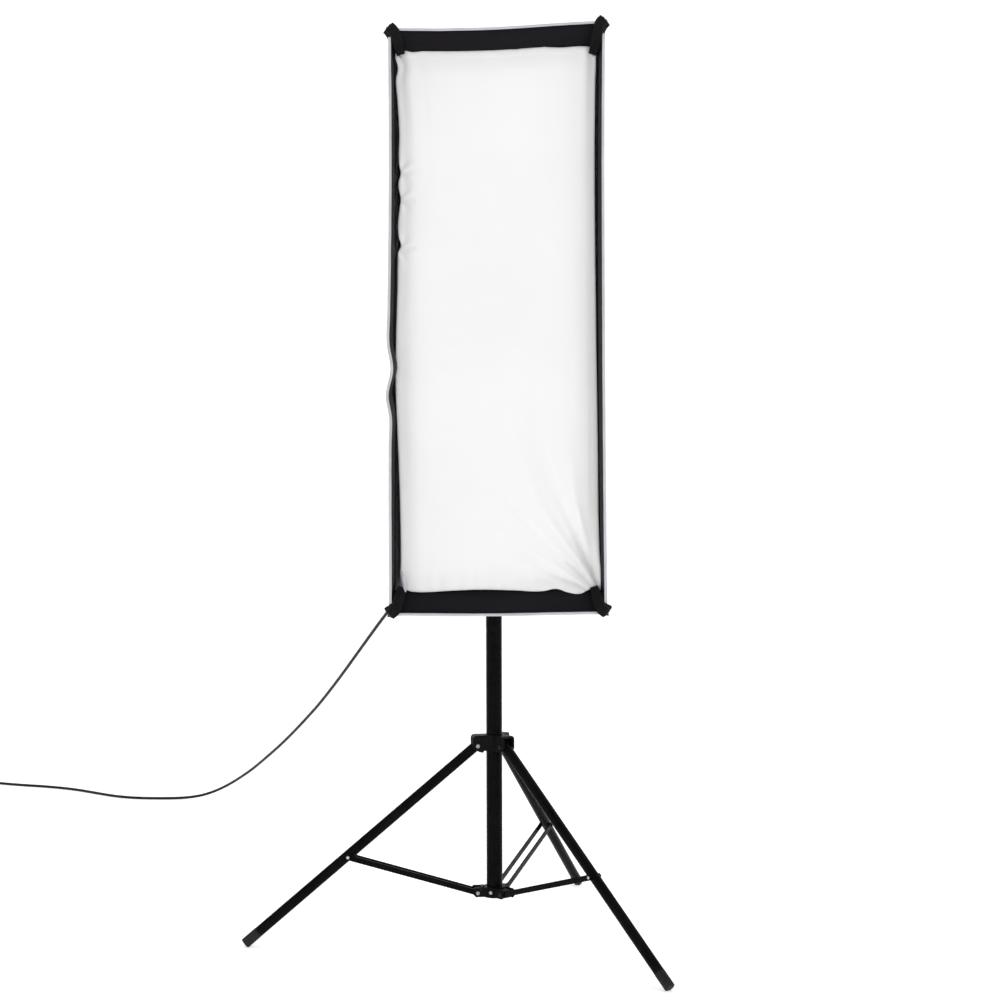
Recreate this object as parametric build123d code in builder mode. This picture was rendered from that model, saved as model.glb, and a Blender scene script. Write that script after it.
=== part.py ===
from build123d import *
from math import atan2, cos, degrees, hypot, pi, radians, sin, tan
import os

# A strip softbox on a monolight head and a three-legged lighting stand.
# Millimetres, +Z up. The origin is the point on the floor under the column's axis.
# The softbox faces -Y, its optical axis lies along Y and its long side is upright.

# ---------------------------------------------------------------- driving dimensions
RUN = 0.05  # radial clearance of a running fit
GAP = 0.3  # clearance between faces that pass each other

# Stand
COLUMN_R = 17.5
COLUMN_WALL = 1.5
COLUMN_Z = (92.5, 1000.0)
RISER_R = 15.0
RISER_WALL = 1.5
RISER_Z = (550.0, 1150.0)
LEG_R = 11.0
LEG_WALL = 1.5
LEG_ANGLES = {"left": 188.5, "right": 308.5, "rear": 67.0}
LEG_PIVOT = (39.0, 423.0)  # distance from the column's axis, height
BRACE_PIVOT = (40.0, 101.0)
FOOT_REACH = 545.0  # foot circle radius
BRACE_SHARE = 0.566  # where the brace meets the leg, as a share of the leg
BRACE_BAR = (12.0, 2.5)  # height and thickness of one bar
FOOT_LENGTH = 38.0
FOOT_PAST = 3.0  # of the foot's end past the end of its leg's own line
FOOT_R = 11.3
RIVET_R = 3.0
HEAD_TAPER = 20  # of a rivet's head, in degrees
STUD_R = 4.0  # of the knobs on the collar and the clamp
LEG_COLLAR_Z = (412.0, 446.0)
LEG_COLLAR_PLATE = 4.5  # over each leg's end
BASE_Z = (90.0, 112.0)
BASE_R = 25.0
BASE_LUG_R = 8.5
BASE_EAR_REACH = 49.0
BASE_PIN = (28.0, 2.4, 116.5)  # distance from the axis, radius and top
BASE_EAR = (14.1, 2.5)  # inner face and thickness of an ear outside the brace's bars

# Riser clamp, spigot and tilting bracket
CLAMP_Z = (962.0, 1034.0)
CLAMP_R = 24.5
CLAMP_BAND_R = 26.5
CLAMP_KNOB = (40.0, 1014.0)
COLLAR_KNOB = (133.0, 418.0)  # direction and height
SPIGOT_R = 7.94  # the 5/8 inch lighting spigot
SOCKET_Z = (1154.5, 1200.0)
SOCKET_R = 17.0
SOCKET_SCREW_Z = 1176.0
SOCKET_STUD_R = 3.0
SPIGOT_GROOVE = (1171.0, 1.6)  # height and depth
TILT_Z = 1226.0
TILT_BOLT_R = 4.0
FORK_R = 14.0  # the round end of each cheek
SADDLE_Z = 1250.5  # underside of the plate under the head
LEVER_ARM = 58.0
FORK_GAP = 14.0  # half of the space between the fork's cheeks
FORK_CHEEK = 6.0

# Flash head
AXIS_Z = 1320.0
HEAD_HALF = (58.0, 64.0)
HEAD_Y = (-126.0, 138.0)
HEAD_WALL = 3.0
PANEL_T = 8.0
CASTING_R = 70.0
CASTING_MOUTH = 44.0
CASTING_T = 14.0
INSERT_R = 57.0
LAMP_R = 13.0
SHAFT_R = 3.0  # of a dial
UMBRELLA_R = 4.1
UMBRELLA_STUD_R = 2.5
UMBRELLA_Z = 1243.5

# Softbox
RING_R = 76.0
REAR_HALF = (80.0, 80.0)  # half width and half height where the fabric meets the ring
FRONT_HALF = (204.0, 558.0)
REAR_Y = -146.0
FRONT_Y = -578.0
FABRIC = 2.0
RECESS = 35.0  # how far the front diffuser sits behind the rim
BINDING = 6.0
ROD_R = 2.5

# Mains lead
CORD_D = 8.0
CORD_R = CORD_D / 2
RELIEF_R = 6.8  # the thick end of a strain relief
RELIEF_LIP = 0.8  # its wall at the thin end
INLET_AT = (-28.0, 1278.0)

os.makedirs("parts", exist_ok=True)


def save(builder, label):
    builder.part.label = label
    export_step(builder.part, f"parts/{label}.step")


def leg_plane(angle, offset=0.0):
    """Upright plane through the column's axis: x runs outwards, y runs up, and the
    normal is sideways. A positive offset moves it along that normal."""
    out = Vector(cos(radians(angle)), sin(radians(angle)), 0)
    plane = Plane(origin=(0, 0, 0), x_dir=out, z_dir=out.cross(Vector(0, 0, 1)))
    return plane.offset(offset)


def facing(point, direction, turn=(0, 0, 1)):
    """Plane at a point whose normal is the given direction."""
    return Plane(origin=point, x_dir=turn, z_dir=direction)


def knob_and_stud(knob_plane, radius, height, lobes, stud_r, stud_length):
    """A lobed hand knob with its threaded stud running back along the plane's normal."""
    with BuildPart() as made:
        with BuildSketch(knob_plane):
            Circle(radius * 0.82)
            with PolarLocations(radius * 0.8, lobes):
                Circle(radius * 0.2)
        extrude(amount=height)
        top = made.faces().sort_by(Axis(knob_plane.origin, knob_plane.z_dir))[-1]
        chamfer(top.edges(), radius * 0.05)
        with BuildSketch(knob_plane):
            Circle(radius * 0.45)
        extrude(amount=-4.0)
        with BuildSketch(knob_plane):
            Circle(stud_r)
        extrude(amount=-stud_length)
    return made


# ------------------------------------------------------------------------ the stand
with BuildPart() as column:
    with BuildSketch(Plane.XY.offset(COLUMN_Z[0])):
        Circle(COLUMN_R)
        Circle(COLUMN_R - COLUMN_WALL, mode=Mode.SUBTRACT)
    extrude(amount=COLUMN_Z[1] - COLUMN_Z[0])
save(column, "column_tube")

LUG_HALF = LEG_R - 0.2
BASE_SCREW_OUT = Vector(cos(radians(250.5)), sin(radians(250.5)), 0)
BASE_SCREW_AT = BASE_SCREW_OUT * BASE_R + Vector(0, 0, BRACE_PIVOT[1] + 0.8)
BASE_SCREW_R = 2.5
ear_end = sum(BASE_EAR)
base_pin_at = leg_plane(LEG_ANGLES["left"]).x_dir * BASE_PIN[0] + Vector(0, 0, BRACE_PIVOT[1] + 4)
with BuildPart() as base_collar:
    with BuildSketch(Plane.XY.offset(BASE_Z[0])):
        Circle(BASE_R)
    extrude(amount=BASE_Z[1] - BASE_Z[0])
    for angle in LEG_ANGLES.values():
        with BuildSketch(leg_plane(angle, -LUG_HALF)):
            with Locations(BRACE_PIVOT):
                Circle(BASE_LUG_R)
                Rectangle(BRACE_PIVOT[0] - 20, 2 * BASE_LUG_R, align=(Align.MAX, Align.CENTER))
        extrude(amount=2 * LUG_HALF)
        for near in (-ear_end, BASE_EAR[0]):
            with BuildSketch(leg_plane(angle, near)):
                with BuildLine():
                    Polyline(
                        (BASE_R - 10, BASE_Z[0] + 2),
                        (BASE_EAR_REACH - 5, BASE_Z[0] + 2),
                        (BASE_EAR_REACH, BASE_Z[0] + 7),
                        (BASE_EAR_REACH, BASE_Z[1] - 4),
                        (BASE_EAR_REACH - 4, BASE_Z[1]),
                        (BASE_R - 10, BASE_Z[1]),
                        close=True,
                    )
                make_face()
            extrude(amount=BASE_EAR[1])
        with BuildSketch(leg_plane(angle, -ear_end - 1)):
            with Locations(BRACE_PIVOT):
                Circle(RIVET_R)
        extrude(amount=2 * ear_end + 2, mode=Mode.SUBTRACT)
    with BuildSketch(Plane.XY.offset(COLUMN_Z[0])):
        Circle(COLUMN_R)
    extrude(amount=BASE_Z[1], mode=Mode.SUBTRACT)
    with BuildSketch(facing(BASE_SCREW_AT, BASE_SCREW_OUT)):
        Circle(BASE_SCREW_R)
    extrude(amount=COLUMN_R - BASE_R, mode=Mode.SUBTRACT)
    with BuildSketch(Plane(origin=base_pin_at)):
        Circle(BASE_PIN[1])
    extrude(amount=BASE_Z[1], mode=Mode.SUBTRACT)
save(base_collar, "base_collar")

with BuildPart() as base_fasteners:
    for angle in LEG_ANGLES.values():
        with BuildSketch(leg_plane(angle, -ear_end)):
            with Locations(BRACE_PIVOT):
                Circle(RIVET_R)
        extrude(amount=2 * ear_end)
        for side in (-1, 1):
            with BuildSketch(leg_plane(angle, side * ear_end)):
                with Locations(BRACE_PIVOT):
                    Circle(4.6)
            extrude(amount=side * 2.2, taper=HEAD_TAPER)
    with BuildSketch(facing(BASE_SCREW_AT, BASE_SCREW_OUT)):
        Circle(BASE_SCREW_R)
    extrude(amount=COLUMN_R - BASE_R + GAP)
    with BuildSketch(facing(BASE_SCREW_AT, BASE_SCREW_OUT)):
        Circle(4.4)
    extrude(amount=2, taper=HEAD_TAPER)
    with BuildSketch(Plane(origin=base_pin_at)):
        Circle(BASE_PIN[1])
    extrude(amount=BASE_PIN[2] - base_pin_at.Z)
save(base_fasteners, "base_fasteners")

# The leg collar has a hood over the end of each leg: two ears and a plate on top.
collar_height = LEG_COLLAR_Z[1] - LEG_COLLAR_Z[0]
EAR = (LEG_R + GAP, 4.7)  # inner face and thickness of a clevis ear
EAR_OUT = EAR[0] + EAR[1]
COLLAR_OUT = 23.3
HOOD_OUT = 50.0
HOOD_ROUND = 7.0
COLLAR_BOSS = 32.0
collar_knob_out = Vector(cos(radians(COLLAR_KNOB[0])), sin(radians(COLLAR_KNOB[0])), 0)
collar_knob_at = Vector(0, 0, COLLAR_KNOB[1])
with BuildPart() as leg_collar:
    with BuildSketch(Plane.XY.offset(LEG_COLLAR_Z[0])):
        Circle(COLLAR_OUT)
    extrude(amount=collar_height)
    for angle in LEG_ANGLES.values():
        with BuildSketch(leg_plane(angle, -EAR_OUT)):
            with BuildLine():
                Polyline(
                    (HOOD_OUT, LEG_PIVOT[1]),
                    (HOOD_OUT, LEG_COLLAR_Z[1] - HOOD_ROUND),
                    (HOOD_OUT - HOOD_ROUND * 0.3, LEG_COLLAR_Z[1] - HOOD_ROUND * 0.3),
                    (HOOD_OUT - HOOD_ROUND, LEG_COLLAR_Z[1]),
                    (COLUMN_R - 2, LEG_COLLAR_Z[1]),
                    (COLUMN_R - 2, LEG_COLLAR_Z[0]),
                    (LEG_PIVOT[0], LEG_COLLAR_Z[0]),
                )
                RadiusArc(
                    (LEG_PIVOT[0], LEG_COLLAR_Z[0]), (HOOD_OUT, LEG_PIVOT[1]), -LEG_R
                )
            make_face()
        extrude(amount=2 * EAR_OUT)
    for angle in LEG_ANGLES.values():
        with BuildSketch(leg_plane(angle, -EAR[0])):
            with Locations((COLLAR_OUT + 1.2, LEG_COLLAR_Z[1] - LEG_COLLAR_PLATE)):
                Rectangle(HOOD_OUT, collar_height, align=(Align.MIN, Align.MAX))
        extrude(amount=2 * EAR[0], mode=Mode.SUBTRACT)
    with BuildSketch(
        facing(collar_knob_out * COLUMN_R + collar_knob_at, collar_knob_out)
    ):
        Circle(9)
    extrude(amount=COLLAR_BOSS - COLUMN_R)
    with BuildSketch(Plane.XY.offset(LEG_COLLAR_Z[0])):
        Circle(COLUMN_R + RUN)
    extrude(amount=collar_height, mode=Mode.SUBTRACT)
    for angle in LEG_ANGLES.values():
        with BuildSketch(leg_plane(angle, -EAR_OUT)):
            with Locations(LEG_PIVOT):
                Circle(RIVET_R)
        extrude(amount=2 * EAR_OUT, mode=Mode.SUBTRACT)
    with BuildSketch(
        facing(collar_knob_out * COLLAR_BOSS + collar_knob_at, collar_knob_out)
    ):
        Circle(STUD_R + RUN)
    extrude(amount=COLUMN_R - COLLAR_BOSS, mode=Mode.SUBTRACT)
    top = leg_collar.faces().sort_by(Axis.Z)[-1]
    chamfer(top.outer_wire().edges(), 1.2)
save(leg_collar, "leg_collar")

with BuildPart() as leg_pivot_rivets:
    for angle in LEG_ANGLES.values():
        with BuildSketch(leg_plane(angle, -EAR_OUT)):
            with Locations(LEG_PIVOT):
                Circle(RIVET_R)
        extrude(amount=2 * EAR_OUT)
        for side in (-1, 1):
            with BuildSketch(leg_plane(angle, side * EAR_OUT)):
                with Locations(LEG_PIVOT):
                    Circle(5)
            extrude(amount=side * 2.4, taper=HEAD_TAPER)
save(leg_pivot_rivets, "leg_pivot_rivets")

collar_knob = knob_and_stud(
    facing(collar_knob_out * (COLLAR_BOSS + 4.5) + collar_knob_at, collar_knob_out),
    17, 12, 6, STUD_R, 18.7,
)
save(collar_knob, "collar_knob")

# Each leg is a tube with a round-nosed top plug; its foot is cut flat on the floor.
leg_drop = LEG_PIVOT[1] - LEG_R
leg_slope = atan2(leg_drop, FOOT_REACH - LEG_PIVOT[0])
FOOT_Z = LEG_R * cos(leg_slope)
leg_slope = atan2(LEG_PIVOT[1] - FOOT_Z, FOOT_REACH - LEG_PIVOT[0])
leg_length = hypot(LEG_PIVOT[1] - FOOT_Z, FOOT_REACH - LEG_PIVOT[0])
TUBE_START = -8.0
TUBE_END = leg_length - 14.0


def along_leg(angle, distance):
    """Plane square to a leg at a distance from its pivot, its normal down the leg."""
    plane = leg_plane(angle)
    down = plane.x_dir * cos(leg_slope) - Vector(0, 0, 1) * sin(leg_slope)
    start = plane.x_dir * LEG_PIVOT[0] + Vector(0, 0, LEG_PIVOT[1])
    return Plane(origin=start + down * distance, x_dir=plane.z_dir, z_dir=down)


for place, angle in LEG_ANGLES.items():
    with BuildPart() as leg:
        with BuildSketch(along_leg(angle, TUBE_START)):
            Circle(LEG_R)
        extrude(amount=TUBE_END - TUBE_START)
        chamfer(leg.edges().filter_by(GeomType.CIRCLE).sort_by(Axis.Z)[-1], 1.5)
        with BuildSketch(along_leg(angle, 30)):
            Circle(LEG_R - LEG_WALL)
        extrude(amount=TUBE_END - 60, mode=Mode.SUBTRACT)
        with BuildSketch(leg_plane(angle, -20)):
            with Locations(LEG_PIVOT):
                Circle(RIVET_R + RUN)
        extrude(amount=40, mode=Mode.SUBTRACT)
    save(leg, f"leg_{place}")

    with BuildPart() as foot:
        with BuildSketch(along_leg(angle, leg_length + FOOT_PAST - FOOT_LENGTH)):
            Circle(FOOT_R)
        extrude(amount=FOOT_LENGTH)
        end = foot.faces().sort_by(Axis(along_leg(angle, 0).origin, along_leg(angle, 0).z_dir))
        fillet(end[-1].edges(), 2)
        with BuildSketch(along_leg(angle, TUBE_END - FOOT_LENGTH)):
            Circle(LEG_R)
        extrude(amount=FOOT_LENGTH, mode=Mode.SUBTRACT)
        split(bisect_by=Plane.XY, keep=Keep.TOP)
    save(foot, f"foot_{place}")

# A brace is two flat bars, one each side of the leg, with a rivet at its outer end.
brace_tip = (
    LEG_PIVOT[0] + (FOOT_REACH - LEG_PIVOT[0]) * BRACE_SHARE,
    LEG_PIVOT[1] + (FOOT_Z - LEG_PIVOT[1]) * BRACE_SHARE,
)
brace_run = (brace_tip[0] - BRACE_PIVOT[0], brace_tip[1] - BRACE_PIVOT[1])
brace_length = hypot(*brace_run)
brace_slope = degrees(atan2(brace_run[1], brace_run[0]))
for place, angle in LEG_ANGLES.items():
    with BuildPart() as brace:
        for side in (-1, 1):
            inner = side * (LEG_R + GAP)
            middle = (
                (brace_tip[0] + BRACE_PIVOT[0]) / 2,
                (brace_tip[1] + BRACE_PIVOT[1]) / 2,
            )
            with BuildSketch(leg_plane(angle, inner)):
                with Locations(Location((middle[0], middle[1], 0), (0, 0, brace_slope))):
                    SlotCenterToCenter(brace_length, BRACE_BAR[0])
                with Locations(BRACE_PIVOT):
                    Circle(RIVET_R + RUN, mode=Mode.SUBTRACT)
            extrude(amount=side * BRACE_BAR[1])
            with BuildSketch(leg_plane(angle, inner + side * BRACE_BAR[1])):
                with Locations(brace_tip):
                    Circle(4.8)
            extrude(amount=side * 2.6, taper=HEAD_TAPER)
    save(brace, f"brace_{place}")

clamp_out = Vector(cos(radians(CLAMP_KNOB[0])), sin(radians(CLAMP_KNOB[0])), 0)
clamp_at = Vector(0, 0, CLAMP_KNOB[1])
CLAMP_BOSS = 35.0
with BuildPart() as riser_clamp:
    with BuildSketch(Plane.XY.offset(CLAMP_Z[0])):
        Circle(CLAMP_R)
    extrude(amount=CLAMP_Z[1] - CLAMP_Z[0])
    with BuildSketch(Plane.XY.offset(COLUMN_Z[1] - 10)):
        Circle(CLAMP_BAND_R)
    extrude(amount=28)
    with BuildSketch(facing(clamp_out * RISER_R + clamp_at, clamp_out)):
        Circle(11)
    extrude(amount=CLAMP_BOSS - RISER_R)
    chamfer(riser_clamp.faces().sort_by(Axis.Z)[-1].edges(), 1.5)
    with BuildSketch(Plane.XY.offset(CLAMP_Z[0])):
        Circle(COLUMN_R)
    extrude(amount=COLUMN_Z[1] - CLAMP_Z[0], mode=Mode.SUBTRACT)
    with BuildSketch(Plane.XY.offset(COLUMN_Z[1])):
        Circle(RISER_R + RUN)
    extrude(amount=CLAMP_Z[1] - COLUMN_Z[1], mode=Mode.SUBTRACT)
    with BuildSketch(facing(clamp_out * CLAMP_BOSS + clamp_at, clamp_out)):
        Circle(STUD_R + RUN)
    extrude(amount=RISER_R - CLAMP_BOSS, mode=Mode.SUBTRACT)
save(riser_clamp, "riser_clamp")

clamp_knob = knob_and_stud(
    facing(clamp_out * (CLAMP_BOSS + 5) + clamp_at, clamp_out), 20, 14, 6, STUD_R, 24.6
)
save(clamp_knob, "clamp_knob")

with BuildPart() as riser:
    with BuildSketch(Plane.XY.offset(RISER_Z[0])):
        Circle(RISER_R)
        Circle(RISER_R - RISER_WALL, mode=Mode.SUBTRACT)
    extrude(amount=RISER_Z[1] - RISER_Z[0])
save(riser, "riser_tube")

with BuildPart() as glide:
    with BuildSketch(Plane.XY.offset(RISER_Z[0] - 24)):
        Circle(COLUMN_R - COLUMN_WALL - RUN)
    extrude(amount=24)
    with BuildSketch(Plane.XY.offset(RISER_Z[0])):
        Circle(RISER_R - RISER_WALL)
    extrude(amount=20)
    with BuildSketch(Plane.XY.offset(RISER_Z[0] - 30)):
        Circle(8)
    extrude(amount=60, mode=Mode.SUBTRACT)
save(glide, "riser_glide")

with BuildPart() as spigot:
    with BuildSketch(Plane.XY.offset(RISER_Z[1] - 30)):
        Circle(RISER_R - RISER_WALL)
    extrude(amount=30)
    with BuildSketch(Plane.XY.offset(RISER_Z[1])):
        Circle(RISER_R)
    extrude(amount=4)
    with BuildSketch(Plane.XY.offset(RISER_Z[1] + 4)):
        Circle(SPIGOT_R)
    extrude(amount=36)
    with BuildSketch(Plane.XY.offset(SPIGOT_GROOVE[0])):
        Circle(SPIGOT_R)
        Circle(SPIGOT_R - SPIGOT_GROOVE[1], mode=Mode.SUBTRACT)
    extrude(amount=10, mode=Mode.SUBTRACT)
    chamfer(spigot.faces().sort_by(Axis.Z)[-1].edges(), 1)
save(spigot, "spigot")

# The bracket: a socket that turns on the spigot, and a fork for the tilting block.
FORK_OUT = FORK_GAP + FORK_CHEEK
SOCKET_BOSS = 22.0
with BuildPart() as bracket:
    with BuildSketch(Plane.XY.offset(SOCKET_Z[0])):
        Circle(SOCKET_R)
    extrude(amount=SOCKET_Z[1] - SOCKET_Z[0])
    with BuildSketch(Plane.XY.offset(SOCKET_Z[1] - 2)):
        RectangleRounded(2 * FORK_OUT, 30, 4)
    extrude(amount=9)
    for side in (-1, 1):
        with BuildSketch(Plane.YZ.offset(side * FORK_GAP)):
            with Locations((0, TILT_Z)):
                Circle(FORK_R)
                Rectangle(2 * FORK_R, TILT_Z - SOCKET_Z[1], align=(Align.CENTER, Align.MAX))
        extrude(amount=side * FORK_CHEEK)
    with BuildSketch(facing((0, -FORK_R, SOCKET_SCREW_Z), (0, -1, 0))):
        Circle(9.5)
    extrude(amount=SOCKET_BOSS - FORK_R)
    with BuildSketch(Plane.XY.offset(SOCKET_Z[0] - 1)):
        Circle(SPIGOT_R + 0.06)
    extrude(amount=41, mode=Mode.SUBTRACT)
    with BuildSketch(facing((0, -SOCKET_BOSS, SOCKET_SCREW_Z), (0, -1, 0))):
        Circle(SOCKET_STUD_R + RUN)
    extrude(amount=SPIGOT_R - 3 - SOCKET_BOSS, mode=Mode.SUBTRACT)
    with BuildSketch(Plane.YZ.offset(-FORK_OUT)):
        with Locations((0, TILT_Z)):
            Circle(TILT_BOLT_R + RUN)
    extrude(amount=2 * FORK_OUT, mode=Mode.SUBTRACT)
save(bracket, "bracket")

socket_screw = knob_and_stud(
    facing((0, -SOCKET_BOSS - 4.5, SOCKET_SCREW_Z), (0, -1, 0)),
    13, 12, 4, SOCKET_STUD_R, 18,
)
save(socket_screw, "socket_screw")

with BuildPart() as tilt_block:
    with BuildSketch(Plane.YZ.offset(-FORK_GAP + 0.25)):
        with Locations((0, TILT_Z)):
            Circle(FORK_R)
            Rectangle(2 * FORK_R, SADDLE_Z + 1 - TILT_Z, align=(Align.CENTER, Align.MIN))
    extrude(amount=2 * (FORK_GAP - 0.25))
    with BuildSketch(Plane.XY.offset(SADDLE_Z)):
        RectangleRounded(44, 90, 6)
    extrude(amount=AXIS_Z - HEAD_HALF[1] - SADDLE_Z)
    with BuildSketch(Plane.YZ.offset(-FORK_GAP)):
        with Locations((0, TILT_Z)):
            Circle(TILT_BOLT_R)
    extrude(amount=2 * FORK_GAP, mode=Mode.SUBTRACT)
    with BuildSketch(Plane.XZ.offset(-FORK_R)):
        with Locations((0, UMBRELLA_Z)):
            Circle(UMBRELLA_R)
    extrude(amount=2 * FORK_R, mode=Mode.SUBTRACT)
    with BuildSketch(facing((-FORK_GAP, 0, UMBRELLA_Z), (1, 0, 0))):
        Circle(UMBRELLA_STUD_R + RUN)
    extrude(amount=FORK_GAP - 3, mode=Mode.SUBTRACT)
save(tilt_block, "tilt_block")

umbrella_screw = knob_and_stud(
    facing((-FORK_GAP - 10, 0, UMBRELLA_Z), (-1, 0, 0)), 6.5, 12, 5, UMBRELLA_STUD_R, 19
)
save(umbrella_screw, "umbrella_screw")

with BuildPart() as tilt_bolt:
    with BuildSketch(Plane.YZ.offset(-FORK_OUT)):
        with Locations((0, TILT_Z)):
            Circle(TILT_BOLT_R)
    extrude(amount=2 * FORK_OUT + 10)
    with BuildSketch(Plane.YZ.offset(-FORK_OUT)):
        with Locations((0, TILT_Z)):
            RegularPolygon(7.5, 6)
    extrude(amount=-5)
save(tilt_bolt, "tilt_bolt")

# The lever's hub is the nut on the bolt; its arm hangs down beside the socket.
LEVER_X = FORK_OUT + GAP
with BuildPart() as tilt_lever:
    with BuildSketch(Plane.YZ.offset(LEVER_X)):
        with Locations((0, TILT_Z)):
            Circle(10)
    extrude(amount=14)
    with BuildSketch(Plane.YZ.offset(LEVER_X + 5)):
        with BuildLine():
            Polyline(
                (-6, TILT_Z),
                (-4.5, TILT_Z - LEVER_ARM),
                (4.5, TILT_Z - LEVER_ARM),
                (6, TILT_Z),
                close=True,
            )
        make_face()
        with Locations((0, TILT_Z - LEVER_ARM)):
            Circle(5.5)
    extrude(amount=9)
    with BuildSketch(Plane.YZ.offset(LEVER_X - 1)):
        with Locations((0, TILT_Z)):
            Circle(TILT_BOLT_R + RUN)
    extrude(amount=20, mode=Mode.SUBTRACT)
save(tilt_lever, "tilt_lever")

# ------------------------------------------------------------------- the flash head
with BuildPart() as housing:
    with BuildSketch(Plane.XZ.offset(-HEAD_Y[1])):
        with Locations((0, AXIS_Z)):
            RectangleRounded(2 * HEAD_HALF[0], 2 * HEAD_HALF[1], 16)
            RectangleRounded(
                2 * (HEAD_HALF[0] - HEAD_WALL), 2 * (HEAD_HALF[1] - HEAD_WALL), 13,
                mode=Mode.SUBTRACT,
            )
    extrude(amount=HEAD_Y[1] - HEAD_Y[0])
    with GridLocations(2 * HEAD_HALF[0], 0, 2, 1):
        with Locations(*[(0, 40 + 10 * row, AXIS_Z + 20) for row in range(7)]):
            Box(20, 4, 46, mode=Mode.SUBTRACT)
save(housing, "head_housing")

with BuildPart() as casting:
    with BuildSketch(Plane.XZ.offset(-HEAD_Y[0])):
        with Locations((0, AXIS_Z)):
            Circle(CASTING_R)
            Circle(CASTING_MOUTH, mode=Mode.SUBTRACT)
    extrude(amount=CASTING_T)
    chamfer(casting.faces().sort_by(Axis.Y)[0].edges().sort_by(SortBy.LENGTH)[-1], 2)
save(casting, "front_casting")

CASTING_Y = HEAD_Y[0] - CASTING_T
with BuildPart() as insert:
    with BuildSketch(Plane.XZ.offset(-CASTING_Y)):
        with Locations((0, AXIS_Z)):
            Circle(INSERT_R)
            Circle(CASTING_MOUTH, mode=Mode.SUBTRACT)
    extrude(amount=20)
    with BuildSketch(Plane.XZ.offset(-CASTING_Y)):
        with Locations((0, AXIS_Z)):
            Circle(62)
            Circle(50, mode=Mode.SUBTRACT)
    extrude(amount=3)
save(insert, "bayonet_insert")

with BuildPart() as catch:
    with BuildSketch(Plane.XY.offset(AXIS_Z + CASTING_R + 0.3)):
        with Locations((0, CASTING_Y + 7)):
            RectangleRounded(22, 11, 3)
    extrude(amount=5)
    fillet(catch.faces().sort_by(Axis.Z)[-1].edges(), 1.2)
save(catch, "release_catch")

with BuildPart() as flash_tube:
    with BuildSketch(Plane.XZ.offset(146)):
        with Locations((0, AXIS_Z)):
            Circle(33)
            Circle(27, mode=Mode.SUBTRACT)
    extrude(amount=6)
    fillet(flash_tube.edges(), 2.5)
save(flash_tube, "flash_tube")

with BuildPart() as lamp:
    with BuildSketch(Plane.XZ.offset(112)):
        with Locations((0, AXIS_Z)):
            Circle(LAMP_R)
    extrude(amount=28)
    with BuildSketch(Plane.XZ.offset(140)):
        with Locations((0, AXIS_Z)):
            Circle(9)
    extrude(amount=36)
    fillet(lamp.faces().sort_by(Axis.Y)[0].edges(), 8)
save(lamp, "modelling_lamp")

with BuildPart() as reflector:
    with BuildSketch(Plane.XZ.offset(-HEAD_Y[0] - 3)):
        with Locations((0, AXIS_Z)):
            Circle(CASTING_MOUTH - GAP)
            Circle(LAMP_R + GAP, mode=Mode.SUBTRACT)
    extrude(amount=2)
save(reflector, "reflector_plate")

with BuildPart() as dome:
    with BuildSketch(Plane.XZ.offset(136)):
        with Locations((0, AXIS_Z)):
            Circle(42)
            Circle(39.5, mode=Mode.SUBTRACT)
    extrude(amount=46)
    with BuildSketch(Plane.XZ.offset(182)):
        with Locations((0, AXIS_Z)):
            Circle(42)
    extrude(amount=3)
    fillet(dome.faces().sort_by(Axis.Y)[0].edges(), 2.4)
save(dome, "glass_dome")

with BuildPart() as capacitors:
    for x in (-25.5, 25.5):
        with BuildSketch(Plane.XZ.offset(40)):
            with Locations((x, AXIS_Z - 30)):
                Circle(24)
        extrude(amount=70)
save(capacitors, "capacitors")

with BuildPart() as board:
    with BuildSketch(Plane.XY.offset(AXIS_Z + 8)):
        with Locations((0, -25)):
            Rectangle(96, 150)
    extrude(amount=1.6)
save(board, "circuit_board")

with BuildPart() as fan:
    with BuildSketch(Plane.XZ.offset(-96)):
        with Locations((0, AXIS_Z)):
            Circle(12)
            with PolarLocations(22, 7):
                Rectangle(24, 7)
    extrude(amount=14)
save(fan, "fan_rotor")

BACK_Y = HEAD_Y[1] + PANEL_T
BUTTON_AT = (-26.0, AXIS_Z + 34)
ROCKER_AT = (-28.0, AXIS_Z - 8)
DIALS = {"power_dial": (24.0, AXIS_Z + 30), "lamp_dial": (24.0, AXIS_Z - 14)}
with BuildPart() as panel:
    with BuildSketch(Plane.XZ.offset(-BACK_Y)):
        with Locations((0, AXIS_Z)):
            RectangleRounded(2 * HEAD_HALF[0], 2 * HEAD_HALF[1], 16)
    extrude(amount=PANEL_T)
    fillet(panel.faces().sort_by(Axis.Y)[-1].edges(), 3)
    with BuildSketch(Plane.XZ.offset(-BACK_Y - 1)):
        with Locations(BUTTON_AT):
            Circle(6 + RUN)
        with Locations(*DIALS.values()):
            Circle(SHAFT_R + RUN)
        with Locations(ROCKER_AT):
            Rectangle(15, 22)
        with Locations(INLET_AT):
            RectangleRounded(29, 22, 2)
        with Locations((30, AXIS_Z - 44)):
            Circle(3.2)
    extrude(amount=PANEL_T + 2, mode=Mode.SUBTRACT)
save(panel, "rear_panel")

for name, (x, z) in DIALS.items():
    with BuildPart() as dial:
        with BuildSketch(Plane.XZ.offset(-BACK_Y - 0.4)):
            with Locations((x, z)):
                Circle(12.5)
                with PolarLocations(12.5, 24):
                    Circle(0.8, mode=Mode.SUBTRACT)
        extrude(amount=-11)
        with BuildSketch(Plane.XZ.offset(-BACK_Y - 0.4)):
            with Locations((x, z)):
                Circle(SHAFT_R)
        extrude(amount=PANEL_T + 3)
        with BuildSketch(Plane.XZ.offset(-BACK_Y - 12)):
            with Locations((x, z + 7)):
                SlotOverall(8, 1.6, rotation=90)
        extrude(amount=2, mode=Mode.SUBTRACT)
    save(dial, name)

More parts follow.
